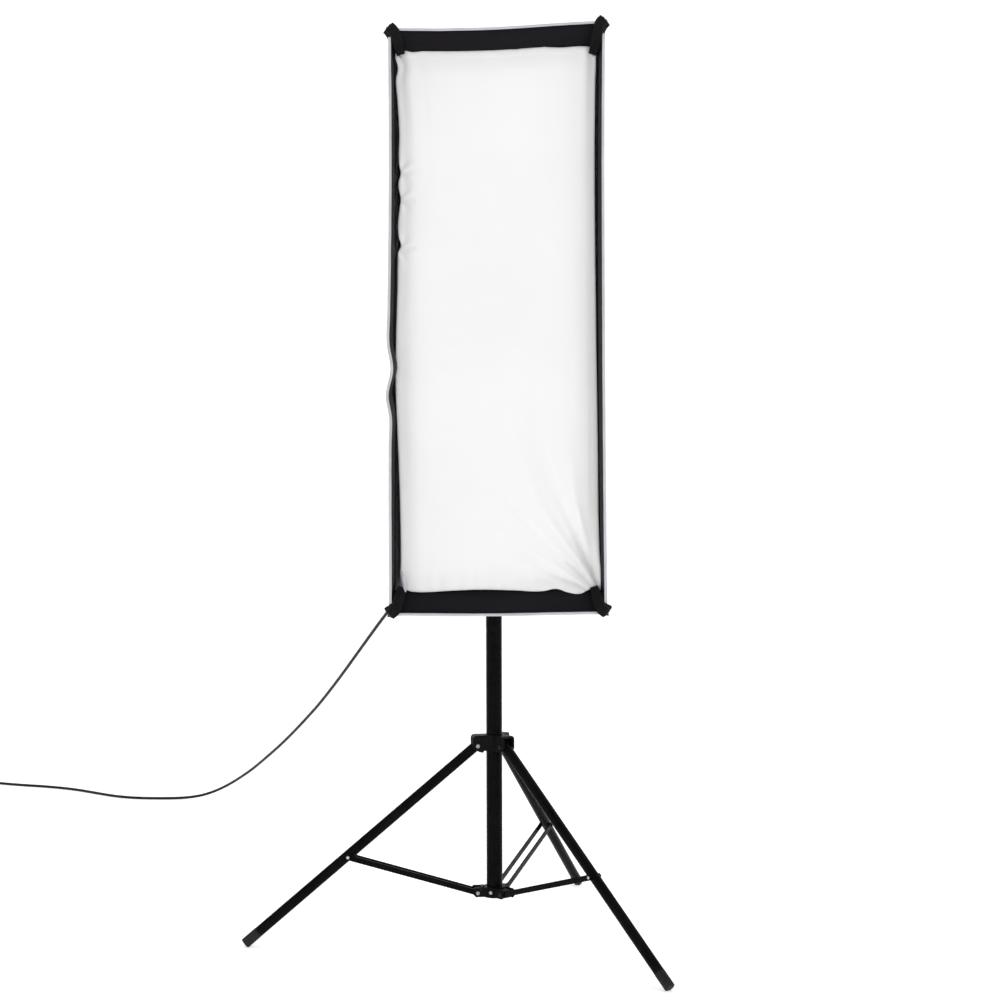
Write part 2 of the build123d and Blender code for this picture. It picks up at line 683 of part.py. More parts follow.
with BuildPart() as button:
    with BuildSketch(Plane.XZ.offset(-BACK_Y - 4)):
        with Locations(BUTTON_AT):
            Circle(6)
    extrude(amount=PANEL_T + 2)
    fillet(button.faces().sort_by(Axis.Y)[-1].edges(), 1)
save(button, "test_button")

with BuildPart() as rocker:
    with BuildSketch(Plane.YZ.offset(ROCKER_AT[0] - 7)):
        with BuildLine():
            Polyline(
                (BACK_Y - 5, ROCKER_AT[1] - 9.2),
                (BACK_Y + 2.6, ROCKER_AT[1] - 9.2),
                (BACK_Y + 0.6, ROCKER_AT[1]),
                (BACK_Y + 2.6, ROCKER_AT[1] + 9.2),
                (BACK_Y - 5, ROCKER_AT[1] + 9.2),
                close=True,
            )
        make_face()
    extrude(amount=14)
    with BuildSketch(Plane.YZ.offset(ROCKER_AT[0] - 7.3)):
        with Locations((BACK_Y - 3, ROCKER_AT[1])):
            Circle(1.6)
    extrude(amount=14.6)
save(rocker, "power_rocker")

with BuildPart() as inlet:
    with BuildSketch(Plane.XZ.offset(-BACK_Y - 1.5)):
        with Locations(INLET_AT):
            RectangleRounded(29, 22, 2)
            RectangleRounded(24.4, 16.8, 2, mode=Mode.SUBTRACT)
    extrude(amount=14)
    with BuildSketch(Plane.XZ.offset(-BACK_Y + 12.5)):
        with Locations(INLET_AT):
            RectangleRounded(29, 22, 2)
    extrude(amount=6)
    for dx, dz in ((-7, 0), (0, 3.5), (7, 0)):
        with BuildSketch(Plane.XZ.offset(-BACK_Y + 12.5)):
            with Locations((INLET_AT[0] + dx, INLET_AT[1] + dz)):
                Rectangle(2, 4)
        extrude(amount=-11)
save(inlet, "mains_inlet")

# ---------------------------------------------------------------------- the softbox
depth = REAR_Y - FRONT_Y


def half_at(y, inset=0.0):
    """Half width and half height of the fabric pyramid at y, moved inwards by inset
    measured square to each wall."""
    share = (REAR_Y - y) / depth
    slopes = [(FRONT_HALF[i] - REAR_HALF[i]) / depth for i in (0, 1)]
    outer = [REAR_HALF[i] + (FRONT_HALF[i] - REAR_HALF[i]) * share for i in (0, 1)]
    return tuple(outer[i] - inset * hypot(1, slopes[i]) for i in (0, 1))


with BuildPart() as ring:
    with BuildSketch(Plane.XZ.offset(144)):
        with Locations((0, AXIS_Z)):
            Circle(RING_R)
            Circle(INSERT_R + RUN, mode=Mode.SUBTRACT)
    extrude(amount=11)
    chamfer(ring.edges().filter_by(GeomType.CIRCLE).sort_by(SortBy.LENGTH)[-2:], 1)
save(ring, "speed_ring")

ROD_ROOT = (52.0, 52.0, -156.0)
ROD_TIP = (193.0, 539.0, -570.0)
rod_way = Vector(ROD_TIP[0] - ROD_ROOT[0], ROD_TIP[2] - ROD_ROOT[2], ROD_TIP[1] - ROD_ROOT[1])
SOCKET_LENGTH = 30.0


def rod_plane(side_x, side_z, distance):
    way = Vector(rod_way.X * side_x, rod_way.Y, rod_way.Z * side_z).normalized()
    root = Vector(ROD_ROOT[0] * side_x, ROD_ROOT[2], AXIS_Z + ROD_ROOT[1] * side_z)
    return Plane(origin=root + way * distance, z_dir=way)


corners = [(x, z) for x in (-1, 1) for z in (-1, 1)]
with BuildPart() as sockets:
    for side_x, side_z in corners:
        with BuildSketch(rod_plane(side_x, side_z, 0)):
            Circle(6)
            Circle(ROD_R, mode=Mode.SUBTRACT)
        extrude(amount=SOCKET_LENGTH)
    with BuildSketch(Plane.XZ.offset(155)):
        with Locations((0, AXIS_Z)):
            Circle(RING_R + 20)
            Circle(40, mode=Mode.SUBTRACT)
    extrude(amount=-30, mode=Mode.SUBTRACT)
save(sockets, "rod_sockets")

with BuildPart() as rods:
    for side_x, side_z in corners:
        with BuildSketch(rod_plane(side_x, side_z, 6)):
            Circle(ROD_R)
        extrude(amount=rod_way.length - 6)
save(rods, "rods")


def wall(name, corner_a, corner_b):
    """One fabric wall of the pyramid, a thin slab between two of its corner edges. Each
    wall stops short of the corner edges, where the seams run."""
    with BuildPart() as made:
        for_loft = []
        for y in (REAR_Y, FRONT_Y):
            outer, inner = half_at(y), half_at(y, FABRIC)
            seam = 2.4
            with BuildSketch(Plane.XZ.offset(-y)):
                with BuildLine():
                    points = []
                    for half, order in ((outer, 1), (inner, -1)):
                        for sx, sz in (corner_a, corner_b)[::order]:
                            x, z = sx * half[0], sz * half[1]
                            if corner_a[0] == corner_b[0]:
                                z -= sz * seam * 1.2
                            else:
                                x -= sx * seam * 0.2
                            points.append((x, AXIS_Z + z))
                    Polyline(*points, close=True)
                make_face()
        loft(ruled=True)
    save(made, name)


wall("wall_top", (-1, 1), (1, 1))
wall("wall_bottom", (-1, -1), (1, -1))
wall("wall_left", (-1, -1), (-1, 1))
wall("wall_right", (1, -1), (1, 1))

rim = (FRONT_HALF[0] + 1, FRONT_HALF[1] + 2)
with BuildPart() as binding:
    for side in (-1, 1):
        with BuildSketch(Plane.XZ.offset(-FRONT_Y)):
            with Locations((0, AXIS_Z + side * (rim[1] - BINDING / 2))):
                Rectangle(2 * rim[0], BINDING)
            with Locations((side * (rim[0] - BINDING / 2), AXIS_Z)):
                Rectangle(BINDING, 2 * (rim[1] - BINDING) - 0.4)
        extrude(amount=BINDING)
save(binding, "edge_binding")

with BuildPart() as pockets:
    for side_x, side_z in corners:
        tilt = 45 * side_x * side_z
        plane = Plane.XZ.offset(-FRONT_Y + BINDING + 0.2)
        with BuildSketch(plane):
            with Locations(
                Location(
                    (side_x * (rim[0] - 14), AXIS_Z + side_z * (rim[1] - 14), 0), (0, 0, tilt)
                )
            ):
                SlotOverall(44, 26)
        extrude(amount=3)
save(pockets, "corner_pockets")

DIFFUSER_Y = FRONT_Y + RECESS
BAFFLE_Y = -380.0
ROD_CORNER = 20.0  # corners cut off where the rods pass
for name, y in (("front_diffuser", DIFFUSER_Y), ("inner_baffle", BAFFLE_Y)):
    half = half_at(y, FABRIC)
    margin = 2.8 if name == "front_diffuser" else 14.0
    with BuildPart() as sheet:
        with BuildSketch(Plane.XZ.offset(-y)):
            with Locations((0, AXIS_Z)):
                outline = Rectangle(2 * (half[0] - margin), 2 * (half[1] - margin))
            chamfer(outline.vertices(), ROD_CORNER)
        extrude(amount=-1.5)
    save(sheet, name)

# -------------------------------------------------------------------- the mains lead
CONNECTOR_END = BACK_Y + 35
RELIEF = 30.0
EXIT = (INLET_AT[0], CONNECTOR_END + RELIEF, INLET_AT[1])
with BuildPart() as connector:
    with BuildSketch(Plane.XZ.offset(-BACK_Y + 11)):
        with Locations(INLET_AT):
            RectangleRounded(23.8, 16.2, 1.5)
    extrude(amount=-46)
    fillet(connector.faces().sort_by(Axis.Y)[-1].edges(), 2.5)
    with BuildSketch(Plane.XZ.offset(-BACK_Y + 12)):
        for dx, dz in ((-7, 0), (0, 3.5), (7, 0)):
            with Locations((INLET_AT[0] + dx, INLET_AT[1] + dz)):
                Rectangle(2.4, 4.4)
    extrude(amount=-18, mode=Mode.SUBTRACT)
    with BuildSketch(facing((EXIT[0], CONNECTOR_END, EXIT[2]), (0, 1, 0))):
        Circle(RELIEF_R)
    with BuildSketch(facing(EXIT, (0, 1, 0))):
        Circle(CORD_R + RELIEF_LIP)
    loft()
save(connector, "power_connector")


def cord_path(points):
    """Runs joined by arcs as large as the two runs beside each corner allow."""
    radii = []
    for before, corner, after in zip(points, points[1:], points[2:]):
        into, out = Vector(*corner) - Vector(*before), Vector(*after) - Vector(*corner)
        half_turn = radians(into.get_angle(out)) / 2
        radii.append(0.45 * min(into.length, out.length) / tan(half_turn))
    print("radii", [round(radius) for radius in radii])
    return FilletPolyline(*points, radius=radii)


def cord_tube(name, points):
    with BuildPart() as tube:
        with BuildLine() as path:
            cord_path(points)
        route = path.wire()
        with BuildSketch(Plane(origin=route @ 0, z_dir=route % 0)):
            Circle(CORD_R)
        sweep(path=route)
    expected = route.length * pi * CORD_R**2
    print(name, "length", round(route.length), "volume share", tube.part.volume / expected)
    return tube


# From the connector the lead drops behind the head, comes forward to a tie on the
# bracket, runs down to a tie on the riser, hangs to the floor and ends in a coil.
HEAD_ROUTE = [
    EXIT,
    (-28, 236, 1278),
    (-28, 259, 1268),
    (-28, 274, 1248),
    (-27, 279, 1224),
    (-26, 270, 1201),
    (-25, 250, 1185),
    (-23, 224, 1178),
    (-22, 194, 1177),
    (-20, 160, 1179),
    (-19, 126, 1184),
    (-17, 94, 1190),
    (-16, 66, 1193),
    (-15, 42, 1186),
    (-14, 26, 1170),
    (-14, 20, 1151),
]
BRACKET_ROUTE = [(-14, 19.5, 1149), (-14.5, 18.5, 1132), (-14.5, 18, 1114), (-13.5, 18, 1097)]
FLOOR_Z = CORD_R + 0.2
FREE_ROUTE = [
    (-13.5, 18, 1095),
    (-15, 22, 1061),
    (-22, 36, 1020),
    (-35, 62, 980),
    (-53, 102, 939),
    (-79, 157, 897),
    (-114, 229, 848),
    (-156, 313, 797),
    (-198, 400, 746),
    (-240, 490, 693),
    (-278, 574, 641),
    (-317, 663, 585),
    (-355, 750, 530),
    (-393, 840, 475),
    (-430, 923, 424),
    (-470, 1013, 371),
    (-511, 1100, 322),
    (-555, 1190, 271),
    (-598, 1277, 224),
    (-645, 1364, 177),
    (-692, 1450, 131),
    (-741, 1527, 90),
    (-788, 1585, 56),
    (-836, 1628, 29),
    (-886, 1655, 11),
    (-942, 1664, FLOOR_Z),
    (-1004, 1661, FLOOR_Z),
    (-1078, 1668, FLOOR_Z),
    (-1148, 1699, FLOOR_Z),
    (-1218, 1756, FLOOR_Z),
    (-1299, 1823, FLOOR_Z),
    (-1394, 1872, FLOOR_Z),
    (-1490, 1903, FLOOR_Z),
    (-1568, 1938, FLOOR_Z),
    (-1626, 1974, FLOOR_Z),
]
COIL_AT = (-1648.0, 1927.0)
COIL_MEAN_R = 44.0
COIL_TURNS = (3, 2)  # turns side by side, layers
TAIL_FROM = (-1695.3, 1948.7)
TAIL_WAY = (-0.417, -0.909)
TAIL = 45.0
PLUG_Z = 12.5

save(cord_tube("cord_head", HEAD_ROUTE), "cord_head")
save(cord_tube("cord_bracket", BRACKET_ROUTE), "cord_bracket")

coil_width = COIL_TURNS[0] * CORD_D
coil_height = COIL_TURNS[1] * CORD_D + 0.4
with BuildPart() as coil:
    with BuildSketch(Plane.XZ):
        with Locations((COIL_MEAN_R, coil_height / 2)):
            RectangleRounded(coil_width, coil_height, CORD_R)
    revolve(axis=Axis.Z)
coil.part.position = (COIL_AT[0], COIL_AT[1], 0)
save(coil, "cord_coil")


def on_tail(distance, height):
    return Vector(
        TAIL_FROM[0] + TAIL_WAY[0] * distance, TAIL_FROM[1] + TAIL_WAY[1] * distance, height
    )


tail_start, tail_end = on_tail(0, coil_height / 2), on_tail(TAIL, PLUG_Z)
free_cord = cord_tube("mains_cord", FREE_ROUTE)
with BuildPart() as mains_cord:
    add(free_cord.part)
    with BuildSketch(Plane(origin=tail_start, z_dir=tail_end - tail_start)):
        Circle(CORD_R)
    extrude(amount=(tail_end - tail_start).length)
save(mains_cord, "mains_cord")


def plug_plane(distance):
    return Plane(
        origin=on_tail(TAIL + distance, PLUG_Z), x_dir=(0, 0, 1), z_dir=(*TAIL_WAY, 0)
    )


PLUG_WIDE, PLUG_FACE = RELIEF + 26, RELIEF + 36
with BuildPart() as plug:
    with BuildSketch(plug_plane(0)):
        Circle(CORD_R + RELIEF_LIP)
    with BuildSketch(plug_plane(RELIEF)):
        Circle(RELIEF_R)
    loft()
    with BuildSketch(plug_plane(RELIEF)):
        RectangleRounded(18, 20, 6)
    with BuildSketch(plug_plane(PLUG_WIDE)):
        RectangleRounded(24, 28, 6)
    loft()
    with BuildSketch(plug_plane(PLUG_WIDE)):
        RectangleRounded(24, 28, 6)
    extrude(amount=PLUG_FACE - PLUG_WIDE)
    with BuildSketch(plug_plane(PLUG_FACE)):
        with Locations((-3, -6.35), (-3, 6.35)):
            Rectangle(6.4, 1.5)
    extrude(amount=17)
    with BuildSketch(plug_plane(PLUG_FACE)):
        with Locations((6.5, 0)):
            Circle(2.4)
    extrude(amount=20)
save(plug, "plug")
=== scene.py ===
import math

import bmesh
import bpy
import numpy as np
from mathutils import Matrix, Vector, noise


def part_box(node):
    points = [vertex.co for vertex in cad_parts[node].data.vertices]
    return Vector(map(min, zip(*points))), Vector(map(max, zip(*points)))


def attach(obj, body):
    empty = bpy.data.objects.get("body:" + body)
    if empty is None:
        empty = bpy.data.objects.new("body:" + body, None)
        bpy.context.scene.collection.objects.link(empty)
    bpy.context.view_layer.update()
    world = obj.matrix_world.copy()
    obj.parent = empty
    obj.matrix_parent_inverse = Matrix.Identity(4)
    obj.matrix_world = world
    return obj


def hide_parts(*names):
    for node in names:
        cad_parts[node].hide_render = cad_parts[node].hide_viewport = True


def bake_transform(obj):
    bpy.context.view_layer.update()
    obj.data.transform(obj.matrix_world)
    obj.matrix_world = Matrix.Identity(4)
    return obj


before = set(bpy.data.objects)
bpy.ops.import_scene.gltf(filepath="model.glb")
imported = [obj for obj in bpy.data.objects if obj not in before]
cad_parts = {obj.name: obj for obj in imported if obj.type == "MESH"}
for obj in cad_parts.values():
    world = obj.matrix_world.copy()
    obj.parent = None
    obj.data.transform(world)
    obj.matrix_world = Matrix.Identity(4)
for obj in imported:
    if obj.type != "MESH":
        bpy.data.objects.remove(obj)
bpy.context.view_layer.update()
scene = bpy.context.scene

# ---- camera
camera = bpy.data.objects.new("camera", bpy.data.cameras.new("camera"))
scene.collection.objects.link(camera)
camera.location = (-0.062, -4.206, 1.0726)
camera.rotation_euler = (math.pi / 2, 0.0026, 0)
camera.data.sensor_width = 36
camera.data.lens = 68.7
camera.data.shift_x = 0.0347
camera.data.shift_y = -0.05
camera.data.clip_end = 60
scene.camera = camera
scene.view_settings.view_transform = "Standard"


# ---- material helpers
class Mat:
    """A node material: each call adds a node and returns the output asked for."""

    def __init__(self, name):
        self.m = bpy.data.materials.new(name)
        self.m.use_nodes = True
        self.tree = self.m.node_tree
        self.shader = self.tree.nodes["Principled BSDF"]

    def put(self, node, socket, value):
        if isinstance(value, bpy.types.NodeSocket):
            self.tree.links.new(value, node.inputs[socket])
        elif value is not None:
            node.inputs[socket].default_value = value

    def node(self, kind, out=0, settings=(), **inputs):
        """A new node. An input _3 is its fourth socket, and Some_Name its socket Some Name."""
        made = self.tree.nodes.new(kind)
        for name, value in dict(settings).items():
            setattr(made, name, value)
        for name, value in inputs.items():
            key = int(name[1:]) if name[0] == "_" else name.replace("_", " ")
            self.put(made, key, value)
        return made.outputs[out]

    def where(self, kind="Object", scale=(1, 1, 1)):
        at = self.node("ShaderNodeTexCoord", kind)
        return self.node("ShaderNodeMapping", Vector=at, Scale=scale)

    def noise(self, at, scale, detail=3, roughness=0.5):
        return self.node(
            "ShaderNodeTexNoise", "Fac", Vector=at, Scale=scale, Detail=detail,
            Roughness=roughness,
        )

    def ramp(self, value, low, high, a=0.0, b=1.0):
        return self.node(
            "ShaderNodeMapRange", "Result",
            _0=value, _1=low, _2=high, _3=a, _4=b,
        )

    def mix(self, share, a, b):
        return self.node(
            "ShaderNodeMix", 2, {"data_type": "RGBA"}, _0=share,
            _6=(*a, 1) if isinstance(a, tuple) and len(a) == 3 else a,
            _7=(*b, 1) if isinstance(b, tuple) and len(b) == 3 else b,
        )

    def math(self, operation, a, b=0.0):
        return self.node("ShaderNodeMath", 0, {"operation": operation}, _0=a, _1=b)

    def bump(self, height, distance, strength=1.0, normal=None):
        return self.node(
            "ShaderNodeBump", 0, Height=height, Distance=distance, Strength=strength,
            Normal=normal,
        )

    def set(self, **inputs):
        for name, value in inputs.items():
            key = name.replace("_", " ")
            if isinstance(value, tuple) and len(value) == 3:
                value = (*value, 1)
            self.put(self.shader, key, value)
        return self.m


def grey(level):
    return (level, level, level)


def painted(name, colour, roughness, grain, depth, specular=0.12):
    """Paint over metal: a fine orange peel, dust and slightly worn patches."""
    m = Mat(name)
    at = m.where()
    dust = m.ramp(m.noise(at, 9, 6, 0.6), 0.45, 0.75)
    fine = m.noise(at, grain, 2)
    lighter = tuple(c * 1.6 + 0.001 for c in colour)
    return m.set(
        Base_Color=m.mix(dust, colour, lighter),
        Roughness=m.ramp(m.noise(at, 60, 4), 0.3, 0.7, roughness - 0.05, roughness + 0.1),
        Specular_IOR_Level=specular,
        Normal=m.bump(fine, depth),
    )


def metal(name, colour, roughness, brushed):
    """Bare metal with fine lines, drawn out along the axis where brushed is small."""
    m = Mat(name)
    at = m.where(scale=brushed)
    lines = m.noise(at, 900, 3)
    return m.set(
        Base_Color=m.mix(m.ramp(m.noise(m.where(), 40, 5), 0.35, 0.7), colour,
                         tuple(c * 0.72 for c in colour)),
        Metallic=1.0,
        Roughness=m.ramp(lines, 0.3, 0.7, roughness - 0.08, roughness + 0.12),
        Normal=m.bump(lines, 0.00003, 0.5),
    )


def moulded(name, colour, roughness, grain=1400, depth=0.00006):
    """Plastic or rubber with a fine spark-eroded grain."""
    m = Mat(name)
    at = m.where()
    fine = m.noise(at, grain, 3, 0.6)
    lighter = tuple(c * 1.7 + 0.002 for c in colour)
    return m.set(
        Base_Color=m.mix(m.ramp(m.noise(at, 25, 5), 0.4, 0.8), colour, lighter),
        Roughness=m.ramp(fine, 0.3, 0.7, roughness - 0.06, roughness + 0.1),
        Specular_IOR_Level=0.14,
        Normal=m.bump(fine, depth),
    )


stand_paint = painted("satin_black_paint", grey(0.0026), 0.26, 900, 0.00002, 0.035)
head_paint = painted("textured_head_paint", (0.016, 0.0165, 0.018), 0.5, 1700, 0.00009)
collar_paint = painted("black_casting_paint", grey(0.004), 0.4, 1300, 0.00005, 0.045)
zinc = metal("zinc_plated_steel", (0.62, 0.62, 0.60), 0.34, (1, 1, 1))


def zinc_darkened_right_of_middle():
    """Rivets of dull zinc, which turn dark and not metallic on the right of the column."""
    m = Mat("dull_zinc")
    at = m.where()
    sideways = m.node("ShaderNodeSeparateXYZ", "X", Vector=at)
    # Dark and not metallic from 1 to 4 mm right of the column's middle onwards.
    right_of_middle = m.ramp(sideways, 0.001, 0.004)
    scuffs = m.ramp(m.noise(at, 420, 4), 0.4, 0.65)
    bare = m.mix(scuffs, (0.40, 0.39, 0.37), (0.22, 0.21, 0.20))
    return m.set(
        Base_Color=m.mix(right_of_middle, bare, (0.012, 0.011, 0.011)),
        Metallic=m.ramp(right_of_middle, 0, 1, 1, 0),
        Roughness=m.ramp(scuffs, 0, 1, 0.36, 0.5),
        Specular_IOR_Level=0.15,
        Normal=m.bump(scuffs, 0.00006),
    )


dull_zinc = zinc_darkened_right_of_middle()
aluminium = metal("turned_aluminium", (0.72, 0.73, 0.74), 0.3, (1, 0.05, 1))
steel = metal("spring_steel", (0.45, 0.45, 0.46), 0.32, (1, 1, 1))
rubber = moulded("black_rubber", grey(0.012), 0.62, 500, 0.0001)
plastic = moulded("black_plastic", grey(0.010), 0.46)
jacket = moulded("lead_jacket", grey(0.009), 0.42, 1200, 0.00003)
board_green = moulded("circuit_board", (0.01, 0.09, 0.03), 0.4, 300, 0.0001)


def frosted_glass():
    """Clear glass with a lightly etched surface."""
    m = Mat("frosted_glass")
    return m.set(
        Base_Color=(0.95, 0.96, 0.97),
        Transmission_Weight=1.0,
        Roughness=m.ramp(m.noise(m.where(), 700), 0.3, 0.7, 0.18, 0.3),
    )


glass = frosted_glass()


# ---- fabric materials
ONE_BAND_A_METRE = 0.314  # a wave texture's Scale for bands a metre apart


def weave(m, at, pitch, depth):
    """A plain weave, two sets of threads crossing at right angles, and its bump."""
    warp, weft = (
        m.node("ShaderNodeTexWave", "Fac", {"bands_direction": way}, Vector=at,
               Scale=ONE_BAND_A_METRE / pitch, Distortion=0.6, Detail=1.0)
        for way in "XY"
    )
    threads = m.math("ADD", warp, weft)
    return threads, m.bump(threads, depth, 0.7)


def stitches(m, at, rows, pitch=0.004, width=0.0007):
    """A mask of stitches: dashes along u, on rows at the given places along v."""
    split = m.node("ShaderNodeSeparateXYZ", "X", Vector=at)
    across = m.node("ShaderNodeSeparateXYZ", "Y", Vector=at)
    dash = m.math("LESS_THAN", m.math("FRACT", m.math("DIVIDE", split, pitch)), 0.68)
    near = None
    for row in rows:
        away = m.math("ABSOLUTE", m.math("SUBTRACT", across, row))
        line = m.math("LESS_THAN", away, width / 2)
        near = line if near is None else m.math("MAXIMUM", near, line)
    return m.math("MULTIPLY", near, dash)


def cloth(name, colour, other, roughness, pitch, depth, rows=(), thread=None, sheen=0.0,
          specular=0.12):
    """Woven cloth on a piece whose UVs are in metres, with rows of stitching."""
    m = Mat(name)
    at = m.where("UV")
    threads, normal = weave(m, at, pitch, depth)
    patches = m.ramp(m.noise(m.where(), 7, 5, 0.6), 0.35, 0.7)
    tone = m.mix(patches, colour, other)
    tone = m.mix(m.ramp(threads, 0.2, 1.8, 0.0, 0.35), tone, tuple(c * 0.45 for c in colour))
    if rows:
        mask = stitches(m, at, rows)
        tone = m.mix(mask, tone, thread)
        normal = m.bump(mask, 0.0004, 0.8, normal)
    return m.set(
        Base_Color=tone,
        Roughness=m.ramp(threads, 0.2, 1.8, roughness - 0.06, roughness + 0.08),
        Specular_IOR_Level=specular,
        Sheen_Weight=sheen,
        Sheen_Roughness=0.45,
        Normal=normal,
    )


BLACK_THREAD = (0.035, 0.035, 0.038)
nylon = cloth("black_coated_nylon", (0.008, 0.0075, 0.009), (0.012, 0.011, 0.014), 0.62,
              0.0006, 0.00008, sheen=0.02)
lip_cloth = cloth("black_lip_cloth", (0.009, 0.008, 0.0105), (0.012, 0.011, 0.014), 0.75,
                  0.0008, 0.0001, sheen=0.02, specular=0.08)
pocket_cloth = cloth("black_pocket_webbing", (0.007, 0.0065, 0.007), (0.011, 0.010, 0.011),
                     0.7, 0.0012, 0.00025, rows=(0.003, 0.024), thread=BLACK_THREAD,
                     sheen=0.03, specular=0.08)
seam_cloth = cloth("black_seam_tape", (0.008, 0.008, 0.009), (0.013, 0.012, 0.014), 0.66,
                   0.0009, 0.0002, rows=(0.003, 0.019), thread=BLACK_THREAD, specular=0.1)
hook_tape = cloth("hook_and_loop_tape", (0.026, 0.025, 0.024), (0.036, 0.034, 0.033), 0.85,
                  0.0016, 0.0006, sheen=0.05, specular=0.1)
strap_cloth = cloth("black_strap", (0.012, 0.012, 0.013), (0.02, 0.02, 0.021), 0.75,
                    0.0014, 0.0004, rows=(0.003, 0.017), thread=(0.05, 0.05, 0.05),
                    sheen=0.05, specular=0.1)


def ribbed_tape():
    """Grey binding tape with ribs across it, two rows of stitches and a little dirt."""
    RIB = 0.001
    m = Mat("grey_ribbed_tape")
    at = m.where("UV")
    ribs = m.node(
        "ShaderNodeTexWave", "Fac", {"bands_direction": "X"}, Vector=at,
        Scale=ONE_BAND_A_METRE / RIB, Distortion=0.3,
    )
    dirt = m.ramp(m.noise(m.where(), 14, 6, 0.65), 0.42, 0.72)
    tone = m.mix(dirt, (0.60, 0.61, 0.65), (0.50, 0.51, 0.55))
    tone = m.mix(m.ramp(ribs, 0, 1, 0, 0.25), tone, (0.3, 0.3, 0.33))
    seam = stitches(m, at, (0.005, 0.030), 0.0035)
    return m.set(
        Base_Color=m.mix(seam, tone, (0.25, 0.25, 0.27)),
        Roughness=0.7,
        Specular_IOR_Level=0.2,
        Sheen_Weight=0.1,
        Normal=m.bump(ribs, 0.0002, 0.6, m.bump(seam, 0.0003)),
    )


def crinkled_lining():
    """The silver coating inside the shell, crinkled from folding."""
    m = Mat("silver_lining")
    grain = m.noise(m.where("UV"), 260, 4, 0.6)
    return m.set(
        Base_Color=m.mix(grain, (0.62, 0.62, 0.63), (0.74, 0.74, 0.75)),
        Metallic=0.85,
        Roughness=m.ramp(grain, 0.3, 0.7, 0.36, 0.5),
        Normal=m.bump(grain, 0.0006, 0.6),
    )


grey_tape = ribbed_tape()
silver_lining = crinkled_lining()


def diffusion(name, colour, shade):
    """Thin white cloth with a faint weave and large soft patches of painted shade."""
    m = Mat(name)
    at = m.where("UV")
    threads, normal = weave(m, at, 0.0007, 0.00005)
    # Painted shade: large soft random patches darken the cloth towards the shade colour.
    painted_shade_patches = m.ramp(m.noise(m.where(), 3.2, 4, 0.5), 0.35, 0.7)
    tone = m.mix(painted_shade_patches, colour, shade)
    return m.set(
        Base_Color=m.mix(m.ramp(threads, 0.3, 1.7, 0, 0.06), tone, grey(0.6)),
        Roughness=m.ramp(threads, 0.2, 1.8, 0.6, 0.72),
        Specular_IOR_Level=0.15,
        Sheen_Weight=0.08,
        Normal=normal,
    )


diffusion_cloth = diffusion("white_diffusion_cloth", (0.87, 0.87, 0.872), (0.83, 0.83, 0.835))
baffle_cloth = diffusion("white_baffle_cloth", (0.8, 0.8, 0.79), (0.76, 0.76, 0.75))

# The CAD nodes that keep their shapes, each under the material it gets.
FINISH = {
    stand_paint: ["column_tube", "riser_tube", "leg_left", "leg_right", "leg_rear",
                  "brace_left", "brace_right", "brace_rear"],
    collar_paint: ["base_collar", "leg_collar", "riser_clamp", "bracket", "tilt_block"],
    zinc: ["tilt_bolt"],
    dull_zinc: ["base_fasteners", "leg_pivot_rivets"],
    aluminium: ["spigot", "speed_ring", "bayonet_insert", "reflector_plate"],
    steel: ["rods", "rod_sockets"],
    rubber: ["foot_left", "foot_right", "foot_rear", "riser_glide"],
    plastic: ["collar_knob", "clamp_knob", "socket_screw", "umbrella_screw", "tilt_lever",
              "rear_panel", "power_dial", "lamp_dial", "power_rocker", "mains_inlet",
              "release_catch", "fan_rotor", "test_button", "capacitors"],
    head_paint: ["head_housing", "front_casting"],
    glass: ["glass_dome", "flash_tube", "modelling_lamp"],
    board_green: ["circuit_board"],
}
for material, names in FINISH.items():
    for name in names:
        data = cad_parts[name].data
        data.materials.clear()
        data.materials.append(material)


# ---- mesh helpers
mm = 0.001
CORD_D = 0.008
CORD_R = CORD_D / 2


def new_mesh(name, verts, faces, material, body, uvs=None, kinds=None):
    """A mesh object. uvs has one list of corner places for each face, and kinds says
    which of several materials each face takes."""
    data = bpy.data.meshes.new(name)
    data.from_pydata([tuple(v) for v in verts], [], faces)
    if uvs is not None:
        layer = data.uv_layers.new(name="UVMap")
        for poly, corners in zip(data.polygons, uvs):
            for loop, place in zip(poly.loop_indices, corners):
                layer.data[loop].uv = place
    for m in material if isinstance(material, (list, tuple)) else [material]:
        data.materials.append(m)
    for i, poly in enumerate(data.polygons):
        poly.use_smooth = True
        if kinds is not None:
            poly.material_index = kinds[i]
    made = bmesh.new()
    made.from_mesh(data)
    bmesh.ops.recalc_face_normals(made, faces=made.faces)
    made.to_mesh(data)
    made.free()
    obj = bpy.data.objects.new(name, data)
    scene.collection.objects.link(obj)
    if body:
        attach(obj, body)
    return obj


def distances(points):
    """How far along a line each of its points is."""
    out = [0.0]
    for a, b in zip(points, points[1:]):
        out.append(out[-1] + (Vector(b) - Vector(a)).length)
    return out


def sweep(name, rings, material, body=None, closed=False):
    """A skin over rings of points, each one section of the piece. A closed sweep joins
    its last ring to its first, and an open one has a cap at each end."""
    count, size = len(rings), len(rings[0])
    centres = [sum((Vector(p) for p in ring), Vector()) / size for ring in rings]
    along = distances(centres + centres[:1])
    around = distances(list(rings[0]) + [rings[0][0]])
    verts = [p for ring in rings for p in ring]
    faces, uvs = [], []
    for i in range(count if closed else count - 1):
        for k in range(size):
            quad = ((i, k), (i, k + 1), (i + 1, k + 1), (i + 1, k))
            faces.append([(row % count) * size + column % size for row, column in quad])
            uvs.append([(along[row], around[column]) for row, column in quad])
    if not closed:
        for row in (0, count - 1):
            faces.append([row * size + k for k in range(size)])
            uvs.append([(along[row], around[k]) for k in range(size)])
    return new_mesh(name, verts, faces, material, body, uvs=uvs)


def part(name, rings, material, body="softbox", replaces=(),
         closed=False):
    """A sweep in the given material, which may stand for CAD nodes and hides them."""
    made = sweep(name, rings, material, body, closed)
    if replaces:
        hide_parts(*replaces)
    return made


